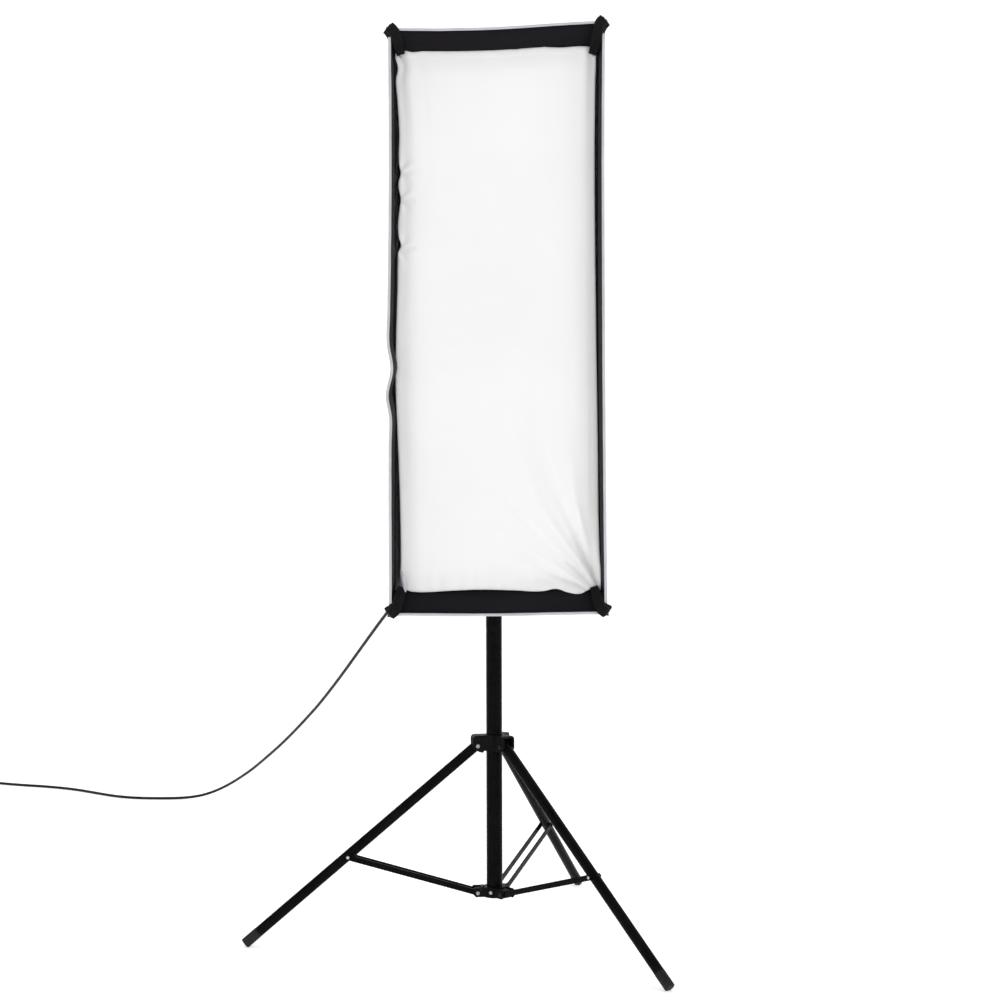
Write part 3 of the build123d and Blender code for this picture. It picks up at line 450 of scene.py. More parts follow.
def smooth_line(points, detail=8):
    """Points along the NURBS spline that has these control points."""
    curve = bpy.data.curves.new("line", "CURVE")
    curve.dimensions = "3D"
    curve.resolution_u = detail
    spline = curve.splines.new("NURBS")
    spline.points.add(len(points) - 1)
    for point, at in zip(spline.points, points):
        point.co = (*at, 1)
    spline.order_u = 3
    spline.use_endpoint_u = True
    holder = bpy.data.objects.new("line", curve)
    made = bpy.data.meshes.new_from_object(holder)
    line = [v.co.copy() for v in made.vertices]
    bpy.data.objects.remove(holder)
    bpy.data.curves.remove(curve)
    bpy.data.meshes.remove(made)
    return line


def frames_along(line):
    """Two directions across a line at each of its points, turning as little as may be."""
    out, side = [], None
    for i in range(len(line)):
        tangent = (line[min(i + 1, len(line) - 1)] - line[max(i - 1, 0)]).normalized()
        if side is None:
            side = tangent.cross(Vector((0, 0, 1)))
            if side.length < 0.1:
                side = tangent.cross(Vector((0, 1, 0)))
        side = (side - tangent * side.dot(tangent)).normalized()
        out.append((side, tangent.cross(side)))
    return out


def lead_tube(name, line, replaces):
    """A round length of the lead along a line."""
    SIDES_ROUND = 14
    turns = [2 * math.pi * k / SIDES_ROUND for k in range(SIDES_ROUND)]
    rings = [
        [point + (side * math.cos(a) + normal * math.sin(a)) * CORD_R for a in turns]
        for point, (side, normal) in zip(line, frames_along(line))
    ]
    return part(name, rings, jacket, None, replaces)


def ease(value, low, high):
    """From 0 at low to 1 at high, smoothly; value may be an array."""
    t = np.clip((value - low) / (high - low), 0, 1)
    return t * t * (3 - 2 * t)


# ---- the mains lead


def metres(points):
    return [tuple(c * mm for c in p) for p in points]


HEAD_ROUTE = metres([
    (-28, 211, 1278), (-28, 236, 1278), (-28, 259, 1268), (-28, 274, 1248),
    (-27, 279, 1224), (-26, 270, 1201), (-25, 250, 1185), (-23, 224, 1178),
    (-22, 194, 1177), (-20, 160, 1179), (-19, 126, 1184), (-17, 94, 1190),
    (-16, 66, 1193), (-15, 42, 1186), (-14, 26, 1170), (-14, 20, 1151),
])
BRACKET_ROUTE = metres([
    (-14, 19.5, 1149), (-14.5, 18.5, 1132), (-14.5, 18, 1114), (-13.5, 18, 1097),
])
FLOOR_Z = 4.2
FREE_ROUTE = metres([
    (-13.5, 18, 1095), (-15, 22, 1061), (-22, 36, 1020), (-35, 62, 980),
    (-53, 102, 939), (-79, 157, 897), (-114, 229, 848), (-156, 313, 797),
    (-198, 400, 746), (-240, 490, 693), (-278, 574, 641), (-317, 663, 585),
    (-355, 750, 530), (-393, 840, 475), (-430, 923, 424), (-470, 1013, 371),
    (-511, 1100, 322), (-555, 1190, 271), (-598, 1277, 224), (-645, 1364, 177),
    (-692, 1450, 131), (-741, 1527, 90), (-788, 1585, 56), (-836, 1628, 29),
    (-886, 1655, 11), (-942, 1664, FLOOR_Z), (-1004, 1661, FLOOR_Z),
    (-1078, 1668, FLOOR_Z), (-1148, 1699, FLOOR_Z), (-1218, 1756, FLOOR_Z),
    (-1299, 1823, FLOOR_Z), (-1394, 1872, FLOOR_Z), (-1490, 1903, FLOOR_Z),
    (-1568, 1938, FLOOR_Z), (-1626, 1974, FLOOR_Z),
])

# The coil: three turns inwards on the floor, then three and a quarter outwards on top.
COIL_AT = Vector((-1.648, 1.927, 0))
TURNS = 6.25
COIL_R = 0.052
POINTS_A_TURN = 16
CLIMB_FROM, CLIMB_TURNS = 2.95, 0.3
LAYER = CORD_D + 0.0002
first = Vector(FREE_ROUTE[-1]) - COIL_AT
start_angle = math.atan2(first.y, first.x)
coil_points = []
for step in range(1, int(TURNS * POINTS_A_TURN) + 1):
    turn = step / POINTS_A_TURN
    radius = COIL_R - CORD_D * min(turn, TURNS - turn)
    rise = min(max((turn - CLIMB_FROM) / CLIMB_TURNS, 0), 1)
    angle = start_angle + 2 * math.pi * turn
    coil_points.append((
        COIL_AT.x + radius * math.cos(angle),
        COIL_AT.y + radius * math.sin(angle),
        FLOOR_Z * mm + LAYER * rise * rise * (3 - 2 * rise),
    ))
# The tail lies on the coil and ends at the plug.
TAIL_FROM = Vector((-1.6953, 1.9487, 0.0124))
TAIL_WAY = Vector((-0.417, -0.909, 0)).normalized()
TAIL = 0.045
PLUG_Z = 0.0125


def on_tail(distance):
    point = TAIL_FROM + TAIL_WAY * distance
    return Vector((point.x, point.y, PLUG_Z))


tail_points = [tuple(on_tail(d)) for d in (0.012, 0.028, TAIL + 0.004)]

head_line = smooth_line(HEAD_ROUTE)
bracket_line = smooth_line(BRACKET_ROUTE)
mains_line = smooth_line(FREE_ROUTE + coil_points + tail_points, 6)
cord_head = lead_tube("lead_from_head", head_line, ["cord_head"])
cord_bracket = lead_tube("lead_on_bracket", bracket_line, ["cord_bracket"])
mains_cord = lead_tube("mains_lead", mains_line, ["mains_cord", "cord_coil"])
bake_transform(cord_head)
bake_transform(cord_bracket)
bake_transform(mains_cord)


# ---- plug, connector and straps
def oval(centre, up, side, half_up, half_side, power=4.0, steps=36):
    """A ring of points round a squared oval."""
    ring = []
    for k in range(steps):
        c, s = math.cos(2 * math.pi * k / steps), math.sin(2 * math.pi * k / steps)
        scale = (abs(c) ** power + abs(s) ** power) ** (-1 / power)
        ring.append(centre + (up * half_up * c + side * half_side * s) * scale * mm)
    return ring


def ribbed_relief(start, way, up, side, flip):
    """Sections of a tapered strain relief: thick at its start unless flip is set."""
    RELIEF, RIBS, THICK, THIN, GROOVE = 30.0, 7, 6.8, 4.8, 1.1
    out = []
    for rib in range(RIBS):
        for share, cut in ((0.0, 0.0), (0.52, 0.0), (0.6, GROOVE), (0.92, GROOVE)):
            at = (rib + share) / RIBS
            r = THICK + (THIN - THICK) * at - cut * (1 - 0.6 * at)
            out.append((at * RELIEF, r))
    out.append((RELIEF, THIN - 0.2))
    if flip:
        out = [(RELIEF - at, r) for at, r in reversed(out)]
    return [oval(start + way * at * mm, up, side, r, r, 2.0) for at, r in out]


UP = Vector((0, 0, 1))
tail_side = UP.cross(TAIL_WAY).normalized()
plug_start = on_tail(TAIL)
rings = ribbed_relief(plug_start, TAIL_WAY, UP, tail_side, True)
for at, tall, wide, power in (  # along, half sizes, and how square the section is
    (30.2, 8.4, 9.0, 2.4), (32, 9.4, 10.4, 2.8), (38, 9.8, 11.0, 3), (44, 9.6, 11.2, 3.2),
    (50, 10.6, 12.6, 3.6), (55, 11.8, 13.9, 4.2), (56.5, 12.0, 14.0, 4.6),
    (58.0, 12.0, 14.0, 4.6), (58.4, 11.5, 13.5, 4.6), (59.2, 11.5, 13.5, 4.6),
    (59.6, 12.0, 14.0, 4.6), (64.6, 12.0, 14.0, 4.6), (66.0, 11.2, 13.2, 4.6),
):
    rings.append(oval(plug_start + TAIL_WAY * at * mm, UP, tail_side, tall, wide, power))
PLUG_FACE = 66.0
with_lead = [part("mains_plug", rings, plastic, "column", ["plug"])]
for name, up_by, side_by, tall, wide, length, power in (
    ("plug_blade_left", -3, -6.35, 3.2, 0.75, 17, 8.0),
    ("plug_blade_right", -3, 6.35, 3.2, 0.75, 17, 8.0),
    ("plug_earth_pin", 6.5, 0.0, 2.4, 2.4, 20, 2.0),
):
    root = plug_start + UP * up_by * mm + tail_side * side_by * mm
    rings = []
    for at, size in ((-1.5, 1.0), (length - 2.2, 1.0), (length - 0.8, 0.8), (length, 0.45)):
        rings.append(oval(root + TAIL_WAY * (PLUG_FACE + at) * mm, UP, tail_side,
                          tall * size, wide * size, power, 24))
    with_lead.append(part(name, rings, zinc, "column"))

# The connector's body has grip ridges on its sides and a chamfered nose.
BACK, RIGHT = Vector((0, 1, 0)), Vector((1, 0, 0))
INLET = Vector((-28, 0, 1278)) * mm
RELIEF_FROM = 181
rings = []
for at, tall, wide in (
    (135, 7.4, 11.2), (136.5, 8.1, 11.9), (150, 8.1, 11.9), (151, 7.7, 11.4),
    (152.5, 7.7, 11.4), (153.2, 8.1, 11.9), (156, 8.1, 11.6), (157, 8.1, 10.9),
    (159, 8.1, 11.6), (160, 8.1, 10.9), (162, 8.1, 11.6), (163, 8.1, 10.9),
    (165, 8.1, 11.6), (166, 8.1, 10.9), (168, 8.1, 11.6), (172, 7.9, 11.2),
    (177, 7.4, 9.6), (180.2, 7.0, 7.6),
):
    rings.append(oval(INLET + BACK * at * mm, UP, RIGHT, tall, wide, 6.0))
rings += ribbed_relief(INLET + BACK * RELIEF_FROM * mm, BACK, UP, RIGHT, False)
connector = part("lead_connector", rings, plastic, "head",
                 ["power_connector"])


def strap(name, body, low_z, high_z, pole_r, cord_at, start):
    """A hook-and-loop strap round a pole and the lead beside it, its end lapped over."""
    STEPS_ROUND, ROUNDS, THICK, SLACK = 80, 1.22, 1.5, 0.3
    lead_r = CORD_R / mm + SLACK
    lead = Vector((*cord_at, 0))
    rings = []
    for step in range(int(STEPS_ROUND * ROUNDS)):
        angle = start + 2 * math.pi * step / STEPS_ROUND
        out = Vector((math.cos(angle), math.sin(angle), 0))
        lap = THICK * 1.15 * float(ease(step / STEPS_ROUND, 0.97, 1.03))
        base = out * pole_r if pole_r > lead.dot(out) + lead_r else lead + out * lead_r
        ring = []
        for up, off in ((0, 0.3), (0.03, 0), (0.97, 0), (1, 0.3), (1, 1.2), (0.97, THICK),
                        (0.5, THICK + 0.15), (0.03, THICK), (0, 1.2)):
            z = low_z + (high_z - low_z) * up
            ring.append((base + out * (off + lap) + Vector((0, 0, z))) * mm)
        rings.append(ring)
    part(name, rings, strap_cloth, body)


strap("bracket_strap", "bracket", 1146, 1166, 17.4, (-14, 22), 0.6)
strap("riser_strap", "riser", 1086, 1106, 15.4, (-13.8, 18), 4.4)

# A tie holds the coil's turns together on each side.
TIE_STEPS, TIE_STEP = 9, 2.0
TIE_R, TIE_Z = 0.044, 0.0094
for name, turn in (("coil_tie_front", -2.2), ("coil_tie_back", 0.9)):
    out = Vector((math.cos(turn), math.sin(turn), 0))
    along = UP.cross(out)
    middle = COIL_AT + out * TIE_R + UP * TIE_Z
    rings = []
    for step in range(TIE_STEPS):
        slide = (step - TIE_STEPS // 2) * TIE_STEP
        edge = 0.5 if step in (0, TIE_STEPS - 1) else 0.0
        rings.append(oval(middle + along * slide * mm, UP, out, 9.2 - edge, 12.9 - edge, 5.0))
    with_lead.append(part(name, rings, strap_cloth, "column"))

# Domed rivet heads over each brace's outer pivot, both sides. The pivot is a share of
# the way down the leg, from its hinge to its foot, given as (way out, height).
LEG_HINGE, FOOT = (0.039, 0.423), (0.545, 0.00851)
BRACE_SHARE = 0.566
RIVET_FACE = 0.0166
DOME = ((-0.6, 3.4), (0.0, 3.4), (0.5, 3.2), (1.0, 2.5), (1.25, 1.4), (1.3, 0.4))
for place in ("left", "right", "rear"):
    toe = Vector([(a + b) / 2 for a, b in zip(*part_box(f"foot_{place}"))])
    way = Vector((toe.x, toe.y, 0)).normalized()
    sideways = way.cross(UP)
    out_by, up_by = (a + (b - a) * BRACE_SHARE for a, b in zip(LEG_HINGE, FOOT))
    for side, label in ((-1, "a"), (1, "b")):
        face = way * out_by + UP * up_by + sideways * side * RIVET_FACE
        rings = [oval(face + sideways * side * lift * mm, UP, way, r, r, 2.0, 24)
                 for lift, r in DOME]
        part(f"rivet_{place}_{label}", rings, zinc, f"brace_{place}")

# ---- the softbox's shape
# All in millimetres. Edges are (place along the edge, where it lies across).
AXIS_Z = 1320.0
REAR_Y, FRONT_Y, DIFFUSER_Y = -146.0, -578.0, -543.0
RING_HALF = 80.0
DEPTH = REAR_Y - FRONT_Y
TOP_EDGE = [(-207, 1874.6), (-110, 1873.6), (4, 1876.3), (118, 1883.3), (206, 1888)]
BOTTOM_EDGE = [(-208, 758.4), (4, 757.0), (118, 759.0), (207, 760.2)]
LEFT_EDGE = [
    (758, -207.6), (830, -207.4), (1080, -207.2), (1135, -206.4), (1176, -212.6),
    (1226, -203.6), (1276, -210.6), (1330, -209.4), (1500, -206.6), (1700, -205.6),
    (1875, -206.6),
]
RIGHT_EDGE = [(760, 206.8), (860, 206.0), (1100, 204.4), (1400, 203.6), (1700, 203.8),
              (1888, 205.6)]
# The diffuser's own outline, pulled about by its hook-and-loop edge.
CLOTH_TOP = [
    (-196, 1833), (-187, 1834), (-181, 1829), (-174, 1837), (-160, 1836), (-111, 1841.5),
    (0, 1842.8), (40, 1840.8), (70, 1845), (124, 1844), (175, 1845.8), (187, 1844),
    (194, 1838),
]
CLOTH_BOTTOM = [
    (-190, 808), (-178, 802), (-162, 800.4), (-98, 802.8), (-44, 804.8), (20, 803.4),
    (84, 802), (105, 806), (128, 799.4), (157, 797), (173, 805), (186, 796), (198, 798),
]
CLOTH_LEFT = [
    (798, -181), (810, -182), (824, -186), (860, -186), (1015, -188.6), (1111, -192.3),
    (1182, -195), (1322, -193.3), (1399, -191), (1440, -190.4), (1453, -189.6),
    (1463, -184.4), (1480, -188.4), (1524, -188.6), (1553, -184.6), (1586, -188.8),
    (1601, -184.8), (1622, -187.6), (1678, -187), (1745, -190.6), (1786, -193),
    (1804, -189.4), (1826, -194.4), (1842, -195),
]
CLOTH_RIGHT = [
    (796, 194), (806, 198), (820, 199), (850, 196.4), (940, 193.4), (1072, 192.4),
    (1300, 189.6), (1700, 188), (1786, 189.4), (1830, 190.6), (1846, 190),
]
WALLS = {  # outwards, and along the wall from its first corner to its second
    "top": ((0, 1), (1, 0)), "right": ((1, 0), (0, -1)),
    "bottom": ((0, -1), (-1, 0)), "left": ((-1, 0), (0, 1)),
}
BOW, SAG = 8.0, 7.0  # a wall's corners bow out and its middle hangs in by this much
WRINKLE, FINE_WRINKLE, PLEAT = 2.6, 0.9, 2.0
SHELL_T = 0.9


def through(pairs, at):
    """A smooth curve through pairs of (place, value), read at an array of places."""
    knots, values = np.array(pairs, float).T
    slopes = np.gradient(values, knots)
    i = np.clip(np.searchsorted(knots, at) - 1, 0, len(knots) - 2)
    span = knots[i + 1] - knots[i]
    t = np.clip((at - knots[i]) / span, 0, 1)
    return (
        values[i] * (1 + 2 * t) * (1 - t) ** 2 + slopes[i] * span * t * (1 - t) ** 2
        + values[i + 1] * t * t * (3 - 2 * t) + slopes[i + 1] * span * t * t * (t - 1)
    )


CORNER = {
    (-1, 1): (-206.8, 1874.6), (1, 1): (205.6, 1888.0),
    (1, -1): (206.8, 760.2), (-1, -1): (-207.6, 758.4),
}


def rim(wall, s):
    """The rim's outer edge at a share s of the way along one wall, as x and z."""
    (nx, nz), (tx, tz) = WALLS[wall]
    (ax, az), (bx, bz) = CORNER[(nx - tx, nz - tz)], CORNER[(nx + tx, nz + tz)]
    x, z = ax + (bx - ax) * s, az + (bz - az) * s
    pairs = {"top": TOP_EDGE, "bottom": BOTTOM_EDGE, "left": LEFT_EDGE, "right": RIGHT_EDGE}
    if nz:
        return x, through(pairs[wall], x)
    hold = ease(np.minimum(s, 1 - s), 0, 0.03)
    return x + (through(pairs[wall], z) - x) * hold, z


def ruffle(x, y, z):
    """Smooth noise between -1 and 1 at arrays of places."""
    spots = zip(np.ravel(x), np.ravel(y), np.ravel(z))
    return np.array([noise.noise(Vector(p)) for p in spots]).reshape(np.shape(x))


def on_shell(wall, s, v, inset=0.0):
    """Arrays of x, y, z on one wall of the shell: s runs along the wall's rim and v
    forwards, from the ring at 0 to the rim at 1. inset goes into the box."""
    (nx, nz), (tx, tz) = WALLS[wall]
    s, v = np.broadcast_arrays(np.asarray(s, float), np.asarray(v, float))
    across = 2 * s - 1
    square_x, square_z = nx + tx * across, nz + tz * across
    round_off = (np.abs(square_x) ** 5 + np.abs(square_z) ** 5) ** 0.2
    rear_x = RING_HALF * square_x / round_off
    rear_z = AXIS_Z + RING_HALF * square_z / round_off
    front_x, front_z = rim(wall, s)
    slack = 4 * v * (1 - v)
    tall = wall in ("left", "right")
    wobble = ruffle(across * (5 if tall else 2.2) + 3 * nx, v * 3.5 + 5 * nz, v * 0 + 0.5)
    fine = ruffle(across * (16 if tall else 7) + nx, v * 9, v * 0 + 2.5 + nz)
    pleats = np.sin(2 * np.pi * ((6 if tall else 5) * s + 0.4 * wobble))
    taut = 1 - ease(v, 0.72, 0.9)
    out = slack * (BOW * across**2 - SAG * (1 - across**2) * taut)
    wrinkles = WRINKLE * wobble + FINE_WRINKLE * fine
    out = out + np.sqrt(slack) * wrinkles * (1 - across**4) * taut
    near_ring = np.exp(-np.abs(v) / 0.13) * ease(v, 0, 0.03)
    out = out + PLEAT * pleats * near_ring * (1 - across**6)
    out = out - inset
    along = slack * BOW * across - inset * across
    x = rear_x + (front_x - rear_x) * v + nx * out + tx * along
    z = rear_z + (front_z - rear_z) * v + nz * out + tz * along
    return x, REAR_Y - DEPTH * v, z


def stacked(x, y, z):
    """Arrays of millimetres as rows of Vectors in metres."""
    x, y, z = np.broadcast_arrays(x, y, z)
    grid = np.stack([x, y, z], axis=-1) * mm
    return [[Vector(p) for p in row] for row in grid]


STEPS_ALONG = {"top": 34, "right": 84, "bottom": 34, "left": 84}
depths = np.concatenate([np.linspace(0, 0.12, 9)[:-1], np.linspace(0.12, 1, 38)])


def wall_rows(inset):
    """The shell's rows from rear to front, each one going round all four walls."""
    rows = [[] for _ in depths]
    for wall, steps in STEPS_ALONG.items():
        s = (1 - np.cos(np.pi * np.arange(steps) / steps)) / 2
        s = 0.5 * s + 0.5 * np.arange(steps) / steps
        grid = stacked(*on_shell(wall, s[None, :], depths[:, None], inset))
        for row, more in zip(rows, grid):
            row.extend(more)
    return rows


def hem_row(radius, y, like):
    """A round row of points at the ring, each in line with a point of another row."""
    out = []
    for point in like:
        angle = math.atan2(point.z - AXIS_Z * mm, point.x)
        out.append(Vector((radius * math.cos(angle), y, AXIS_Z * mm + radius * math.sin(angle))))
    return out


# Outside and inside make one closed skin, joined at the ring and at the rim.
outer, inner = wall_rows(0.0), wall_rows(SHELL_T)
outer = [hem_row(0.0795, -0.1412, outer[0]), hem_row(0.0815, -0.1430, outer[0])] + outer
inner = [hem_row(0.0780, -0.1415, inner[0]), hem_row(0.0783, -0.1440, inner[0])] + inner
rows = outer + inner[::-1]
width = len(rows[0])
verts, faces, uvs, kinds = [p for row in rows for p in row], [], [], []
run = distances([row[width // 2] for row in rows])
round_row = [distances(row + row[:1]) for row in rows]
for i, row in enumerate(rows):
    j = (i + 1) % len(rows)
    far = run[j] if j else run[i] + mm
    for k in range(width):
        m = (k + 1) % width
        faces.append([i * width + k, i * width + m, j * width + m, j * width + k])
        uvs.append([(round_row[i][k], run[i]), (round_row[i][k + 1], run[i]),
                    (round_row[j][k + 1], far), (round_row[j][k], far)])
        in_front = min(row[k].y, rows[j][k].y) < DIFFUSER_Y * mm - mm
        kinds.append(0 if i < len(outer) else 2 if in_front else 1)
shell = new_mesh("softbox_shell", verts, faces, [nylon, silver_lining, lip_cloth], "softbox",
                 uvs=uvs, kinds=kinds)
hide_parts("wall_top", "wall_bottom", "wall_left", "wall_right")


def side_names(side_x, side_z):
    return f"{'left' if side_x < 0 else 'right'}_{'top' if side_z > 0 else 'bottom'}"


# Along each corner edge the walls' seam is covered by a folded tape with a corded bead.
SEAM_FROM, SEAM_STEPS = 0.02, 60
SEAM_SECTION = (  # how far in along x, in along z, and out
    (0.0, 10, 0.3), (0.0, 10, 1.2), (0.0, 3.2, 1.6), (0.0, 1.6, 2.8), (0.0, 0.0, 3.3),
    (1.6, 0.0, 2.8), (3.2, 0.0, 1.6), (10, 0.0, 1.2), (10, 0.0, 0.3),
    (2.5, 0.0, 0.2), (0.0, 0.0, -0.3), (0.0, 2.5, 0.2),
)
for side_x, side_z in CORNER:
    wall = "top" if side_z > 0 else "bottom"
    first = WALLS[wall][1][0] == -side_x
    v = np.linspace(SEAM_FROM, 1.0, SEAM_STEPS)
    x, y, z = on_shell(wall, np.full(SEAM_STEPS, 0.0 if first else 1.0), v)
    rings = []
    for place in zip(x, y, z):
        section = []
        for along_x, along_z, out in SEAM_SECTION:
            leg_x = along_x - (out if along_x == 0 else 0)
            leg_z = along_z - (out if along_z == 0 else 0)
            off = Vector((-side_x * leg_x, 0, -side_z * leg_z))
            section.append(Vector(place) * mm + off * mm)
        rings.append(section)
    name = f"seam_tape_{side_names(side_x, side_z)}"
    part(name, rings, seam_cloth)

# An elastic hem gathers the cloth on the speed ring.
HEM_STEPS, HEM_SIDES = 180, 10
HEM_R, HEM_Y = 0.0795, -0.1440
hem = []
for step in range(HEM_STEPS):
    angle = 2 * math.pi * step / HEM_STEPS
    gather = 0.0006 * math.sin(34 * angle) + 0.0004 * math.sin(55 * angle + 1)
    ring = []
    for k in range(HEM_SIDES):
        turn = 2 * math.pi * k / HEM_SIDES
        r = HEM_R + 0.0028 * math.cos(turn) + gather
        ring.append(Vector((
            r * math.cos(angle), HEM_Y + 0.0030 * math.sin(turn),
            AXIS_Z * mm + r * math.sin(angle),
        )))
    hem.append(ring)
part("ring_hem", hem, seam_cloth, closed=True)

# The rim's binding: ribbed tape folded over the front edge, all the way round.
BINDING_W, BINDING_BACK, BINDING_OUT = 5.1, 13.0, 6.4
SIDE_SLOPE, END_SLOPE = 0.29, 1.1  # how fast the walls behind the rim go in
PROFILE = [  # how far out of the rim, and how far forwards
    (0.6, -BINDING_BACK), (0.5, -BINDING_OUT), (0.1, -3.5), (-0.4, -1.2), (-1.3, 0.3),
    (-2.1, 0.6), (-2.5, 0.1), (-2.9, 0.6), (-3.8, 0.3), (-4.7, -1.2), (-BINDING_W, -2.4),
    (-4.8, -3.4), (-4.0, -2.8), (-1.6, -2.8), (-0.6, -BINDING_OUT),
    (-0.3, -BINDING_BACK - 0.4),
]
binding_rings = []
for wall, steps in STEPS_ALONG.items():
    (nx, nz), (tx, tz) = WALLS[wall]
    s = np.arange(steps * 2) / (steps * 2)
    x, z = rim(wall, s)
    across = 2 * s - 1
    quirk = 0.5 * ruffle(x / 35, z / 35, x * 0)
    for px, pz, u, q in zip(x, z, across, quirk):
        corner = abs(u) ** 24
        ring = []
        for out, back in PROFILE:
            wave = q if back > -BINDING_OUT else 0.0
            reach = out + wave * 0.6
            slip = (SIDE_SLOPE if nx else END_SLOPE) * min(back + BINDING_OUT, 0)
            ring.append(Vector((
                px + nx * (reach + slip) + tx * (reach + slip) * u * corner,
                FRONT_Y - BINDING_OUT - back + wave,
                pz + nz * (reach + slip) + tz * (reach + slip) * u * corner,
            )) * mm)
        binding_rings.append(ring)
part("rim_binding", binding_rings, grey_tape,
                            replaces=["edge_binding"], closed=True)

# A short end of the binding tape stands up, folded, beside the lower left pocket.
TAB = ((-183.0, 842, 1.0), (-181.4, 829, 4.4), (-178.0, 816, 5.6), (-177.2, 806, 3.0),
       (-176.8, 801, 0.8))  # x, z and half width
TAB_Y = -559
rings = []
for tab_x, tab_z, half in TAB:
    fold = 1.6 * math.sin((tab_z - 800) / 9)
    ring = []
    for across, lift in ((-1, 0.0), (-0.2, 1.3), (1, 0.5), (1, -0.3), (-0.2, 0.5), (-1, -0.8)):
        ring.append(Vector((tab_x + across * half, TAB_Y + fold - lift, tab_z)) * mm)
    rings.append(ring)
part("tape_end", rings, grey_tape)

# Hook-and-loop tape along the inside of the lip on the two long sides.
LIP_BUMPS = (1458, 1552, 1604)  # heights where the left tape is lifted
LIP_STEPS = 150
for wall in ("left", "right"):
    s = np.linspace(0.03, 0.97, LIP_STEPS)
    rings = []
    _, _, heights = on_shell(wall, s, np.full(LIP_STEPS, 0.97), SHELL_T)
    for share, height in zip(s, heights):
        bump = sum(math.exp(-((height - at) / 9) ** 2) for at in LIP_BUMPS)
        lift = 1.1 + 0.5 * noise.noise(Vector((height / 14, 3, 0)))
        lift += (2.4 * bump if wall == "left" else 0)
        section = []
        for v, in_by in ((0.93, 0.0), (0.928, lift), (0.945, lift + 0.4), (0.97, lift + 0.2),
                         (0.993, lift), (0.995, 0.0)):
            x, y, z = on_shell(wall, np.array([share]), np.array([v]), SHELL_T + in_by)
            section.append(Vector((x[0], y[0], z[0])) * mm)
        rings.append(section)
    part(f"lip_tape_{wall}", rings, hook_tape)


# ---- pockets at the corners
ROD_ROOT, ROD_TIP = Vector((52, -156, 52)), Vector((193, -570, 539))
POCKET_STEPS, POCKET_ARC = 9, 0.0006
CORNER_REAR = 70  # how far the shell's corners lie from its axis at the ring
FORWARDS = Vector((0, -1, 0))


def rod_at(side_x, side_z, y):
    """The place on one corner's rod at a depth y."""
    share = (y - ROD_ROOT.y) / (ROD_TIP.y - ROD_ROOT.y)
    point = ROD_ROOT + (ROD_TIP - ROD_ROOT) * share
    return Vector((side_x * point.x, y, AXIS_Z + side_z * point.z))


def corner_at(side_x, side_z, y):
    """The place on one of the shell's corner edges at a depth y."""
    x, z = CORNER[(side_x, side_z)]
    back = (y - FRONT_Y) / DEPTH
    return Vector((x * (1 - back) + side_x * CORNER_REAR * back, y,
                   z * (1 - back) + (AXIS_Z + side_z * CORNER_REAR) * back))


# Each pocket is a strip of webbing folded over its rod's tip, from the outside to the
# inside of the shell.
for side_x, side_z in CORNER:
    out = Vector((0.76 * side_x, 0, 0.65 * side_z))
    chord = Vector((-0.65 * side_x, 0, 0.76 * side_z))
    rod_chord = Vector((-0.94 * side_x, 0, 0.34 * side_z))
    corner_x, corner_z = CORNER[(side_x, side_z)]
    tip = Vector((corner_x, 0, corner_z))
    drop = Vector((-side_x * 0.5, 0, -side_z * (5.0 if side_z < 0 else 1.5)))
    stations = [  # place, half width, the way across, the way off the surface
        (corner_at(side_x, side_z, -558) - out * 1.0, 5.0, chord, out),
        (corner_at(side_x, side_z, -570) + out * 0.8, 8.0, chord, out),
        (tip + drop * 0.7 + FORWARDS * 580 + out * 1.2, 12.0, chord, out),
        (tip + drop + FORWARDS * 588.5 + out * 1.6, 13.4, chord,
         (out + FORWARDS * 1.6).normalized()),
        (tip + drop + FORWARDS * 590.5 - out * 4.0, 13.4, chord, FORWARDS),
        (tip + drop * 0.6 + FORWARDS * 588 - out * 12, 12.6,
         chord.lerp(rod_chord, 0.4), FORWARDS),
        (rod_at(side_x, side_z, -570) + FORWARDS * 11, 12.0, rod_chord, FORWARDS),
        (rod_at(side_x, side_z, -558) + FORWARDS * 8, 10.0, rod_chord, FORWARDS),
        (rod_at(side_x, side_z, -546) + FORWARDS * 6 - out * 2, 7.5, rod_chord, FORWARDS),
    ]
    places = smooth_line([place * mm for place, *_ in stations], 6)
    far = distances([place for place, *_ in stations])
    reach = distances(places)
    rings = []
    for point, along in zip(places, reach):
        at = along / reach[-1] * far[-1]
        i = min(int(np.searchsorted(far, at, side="right")) - 1, len(far) - 2)
        t = (at - far[i]) / (far[i + 1] - far[i])
        half = (stations[i][1] + (stations[i + 1][1] - stations[i][1]) * t) * mm
        way = stations[i][2].lerp(stations[i + 1][2], t).normalized()
        off = stations[i][3].lerp(stations[i + 1][3], t).normalized()
        ring = []
        for u in np.linspace(-1, 1, POCKET_STEPS):
            rise = 0.0016 * (1 - u**4) + 0.0007 * math.sin(9 * u + along * 260)
            ring.append(point + way * half * u + off * rise - out * POCKET_ARC * u * u)
        for u in np.linspace(1, -1, POCKET_STEPS):
            ring.append(point + way * half * u - off * 0.0007 - out * POCKET_ARC * u * u)
        rings.append(ring)
    stands_for = ["corner_pockets"] if (side_x, side_z) == (-1, 1) else []
    name = f"corner_pocket_{side_names(side_x, side_z)}"
    part(name, rings, pocket_cloth, replaces=stands_for)


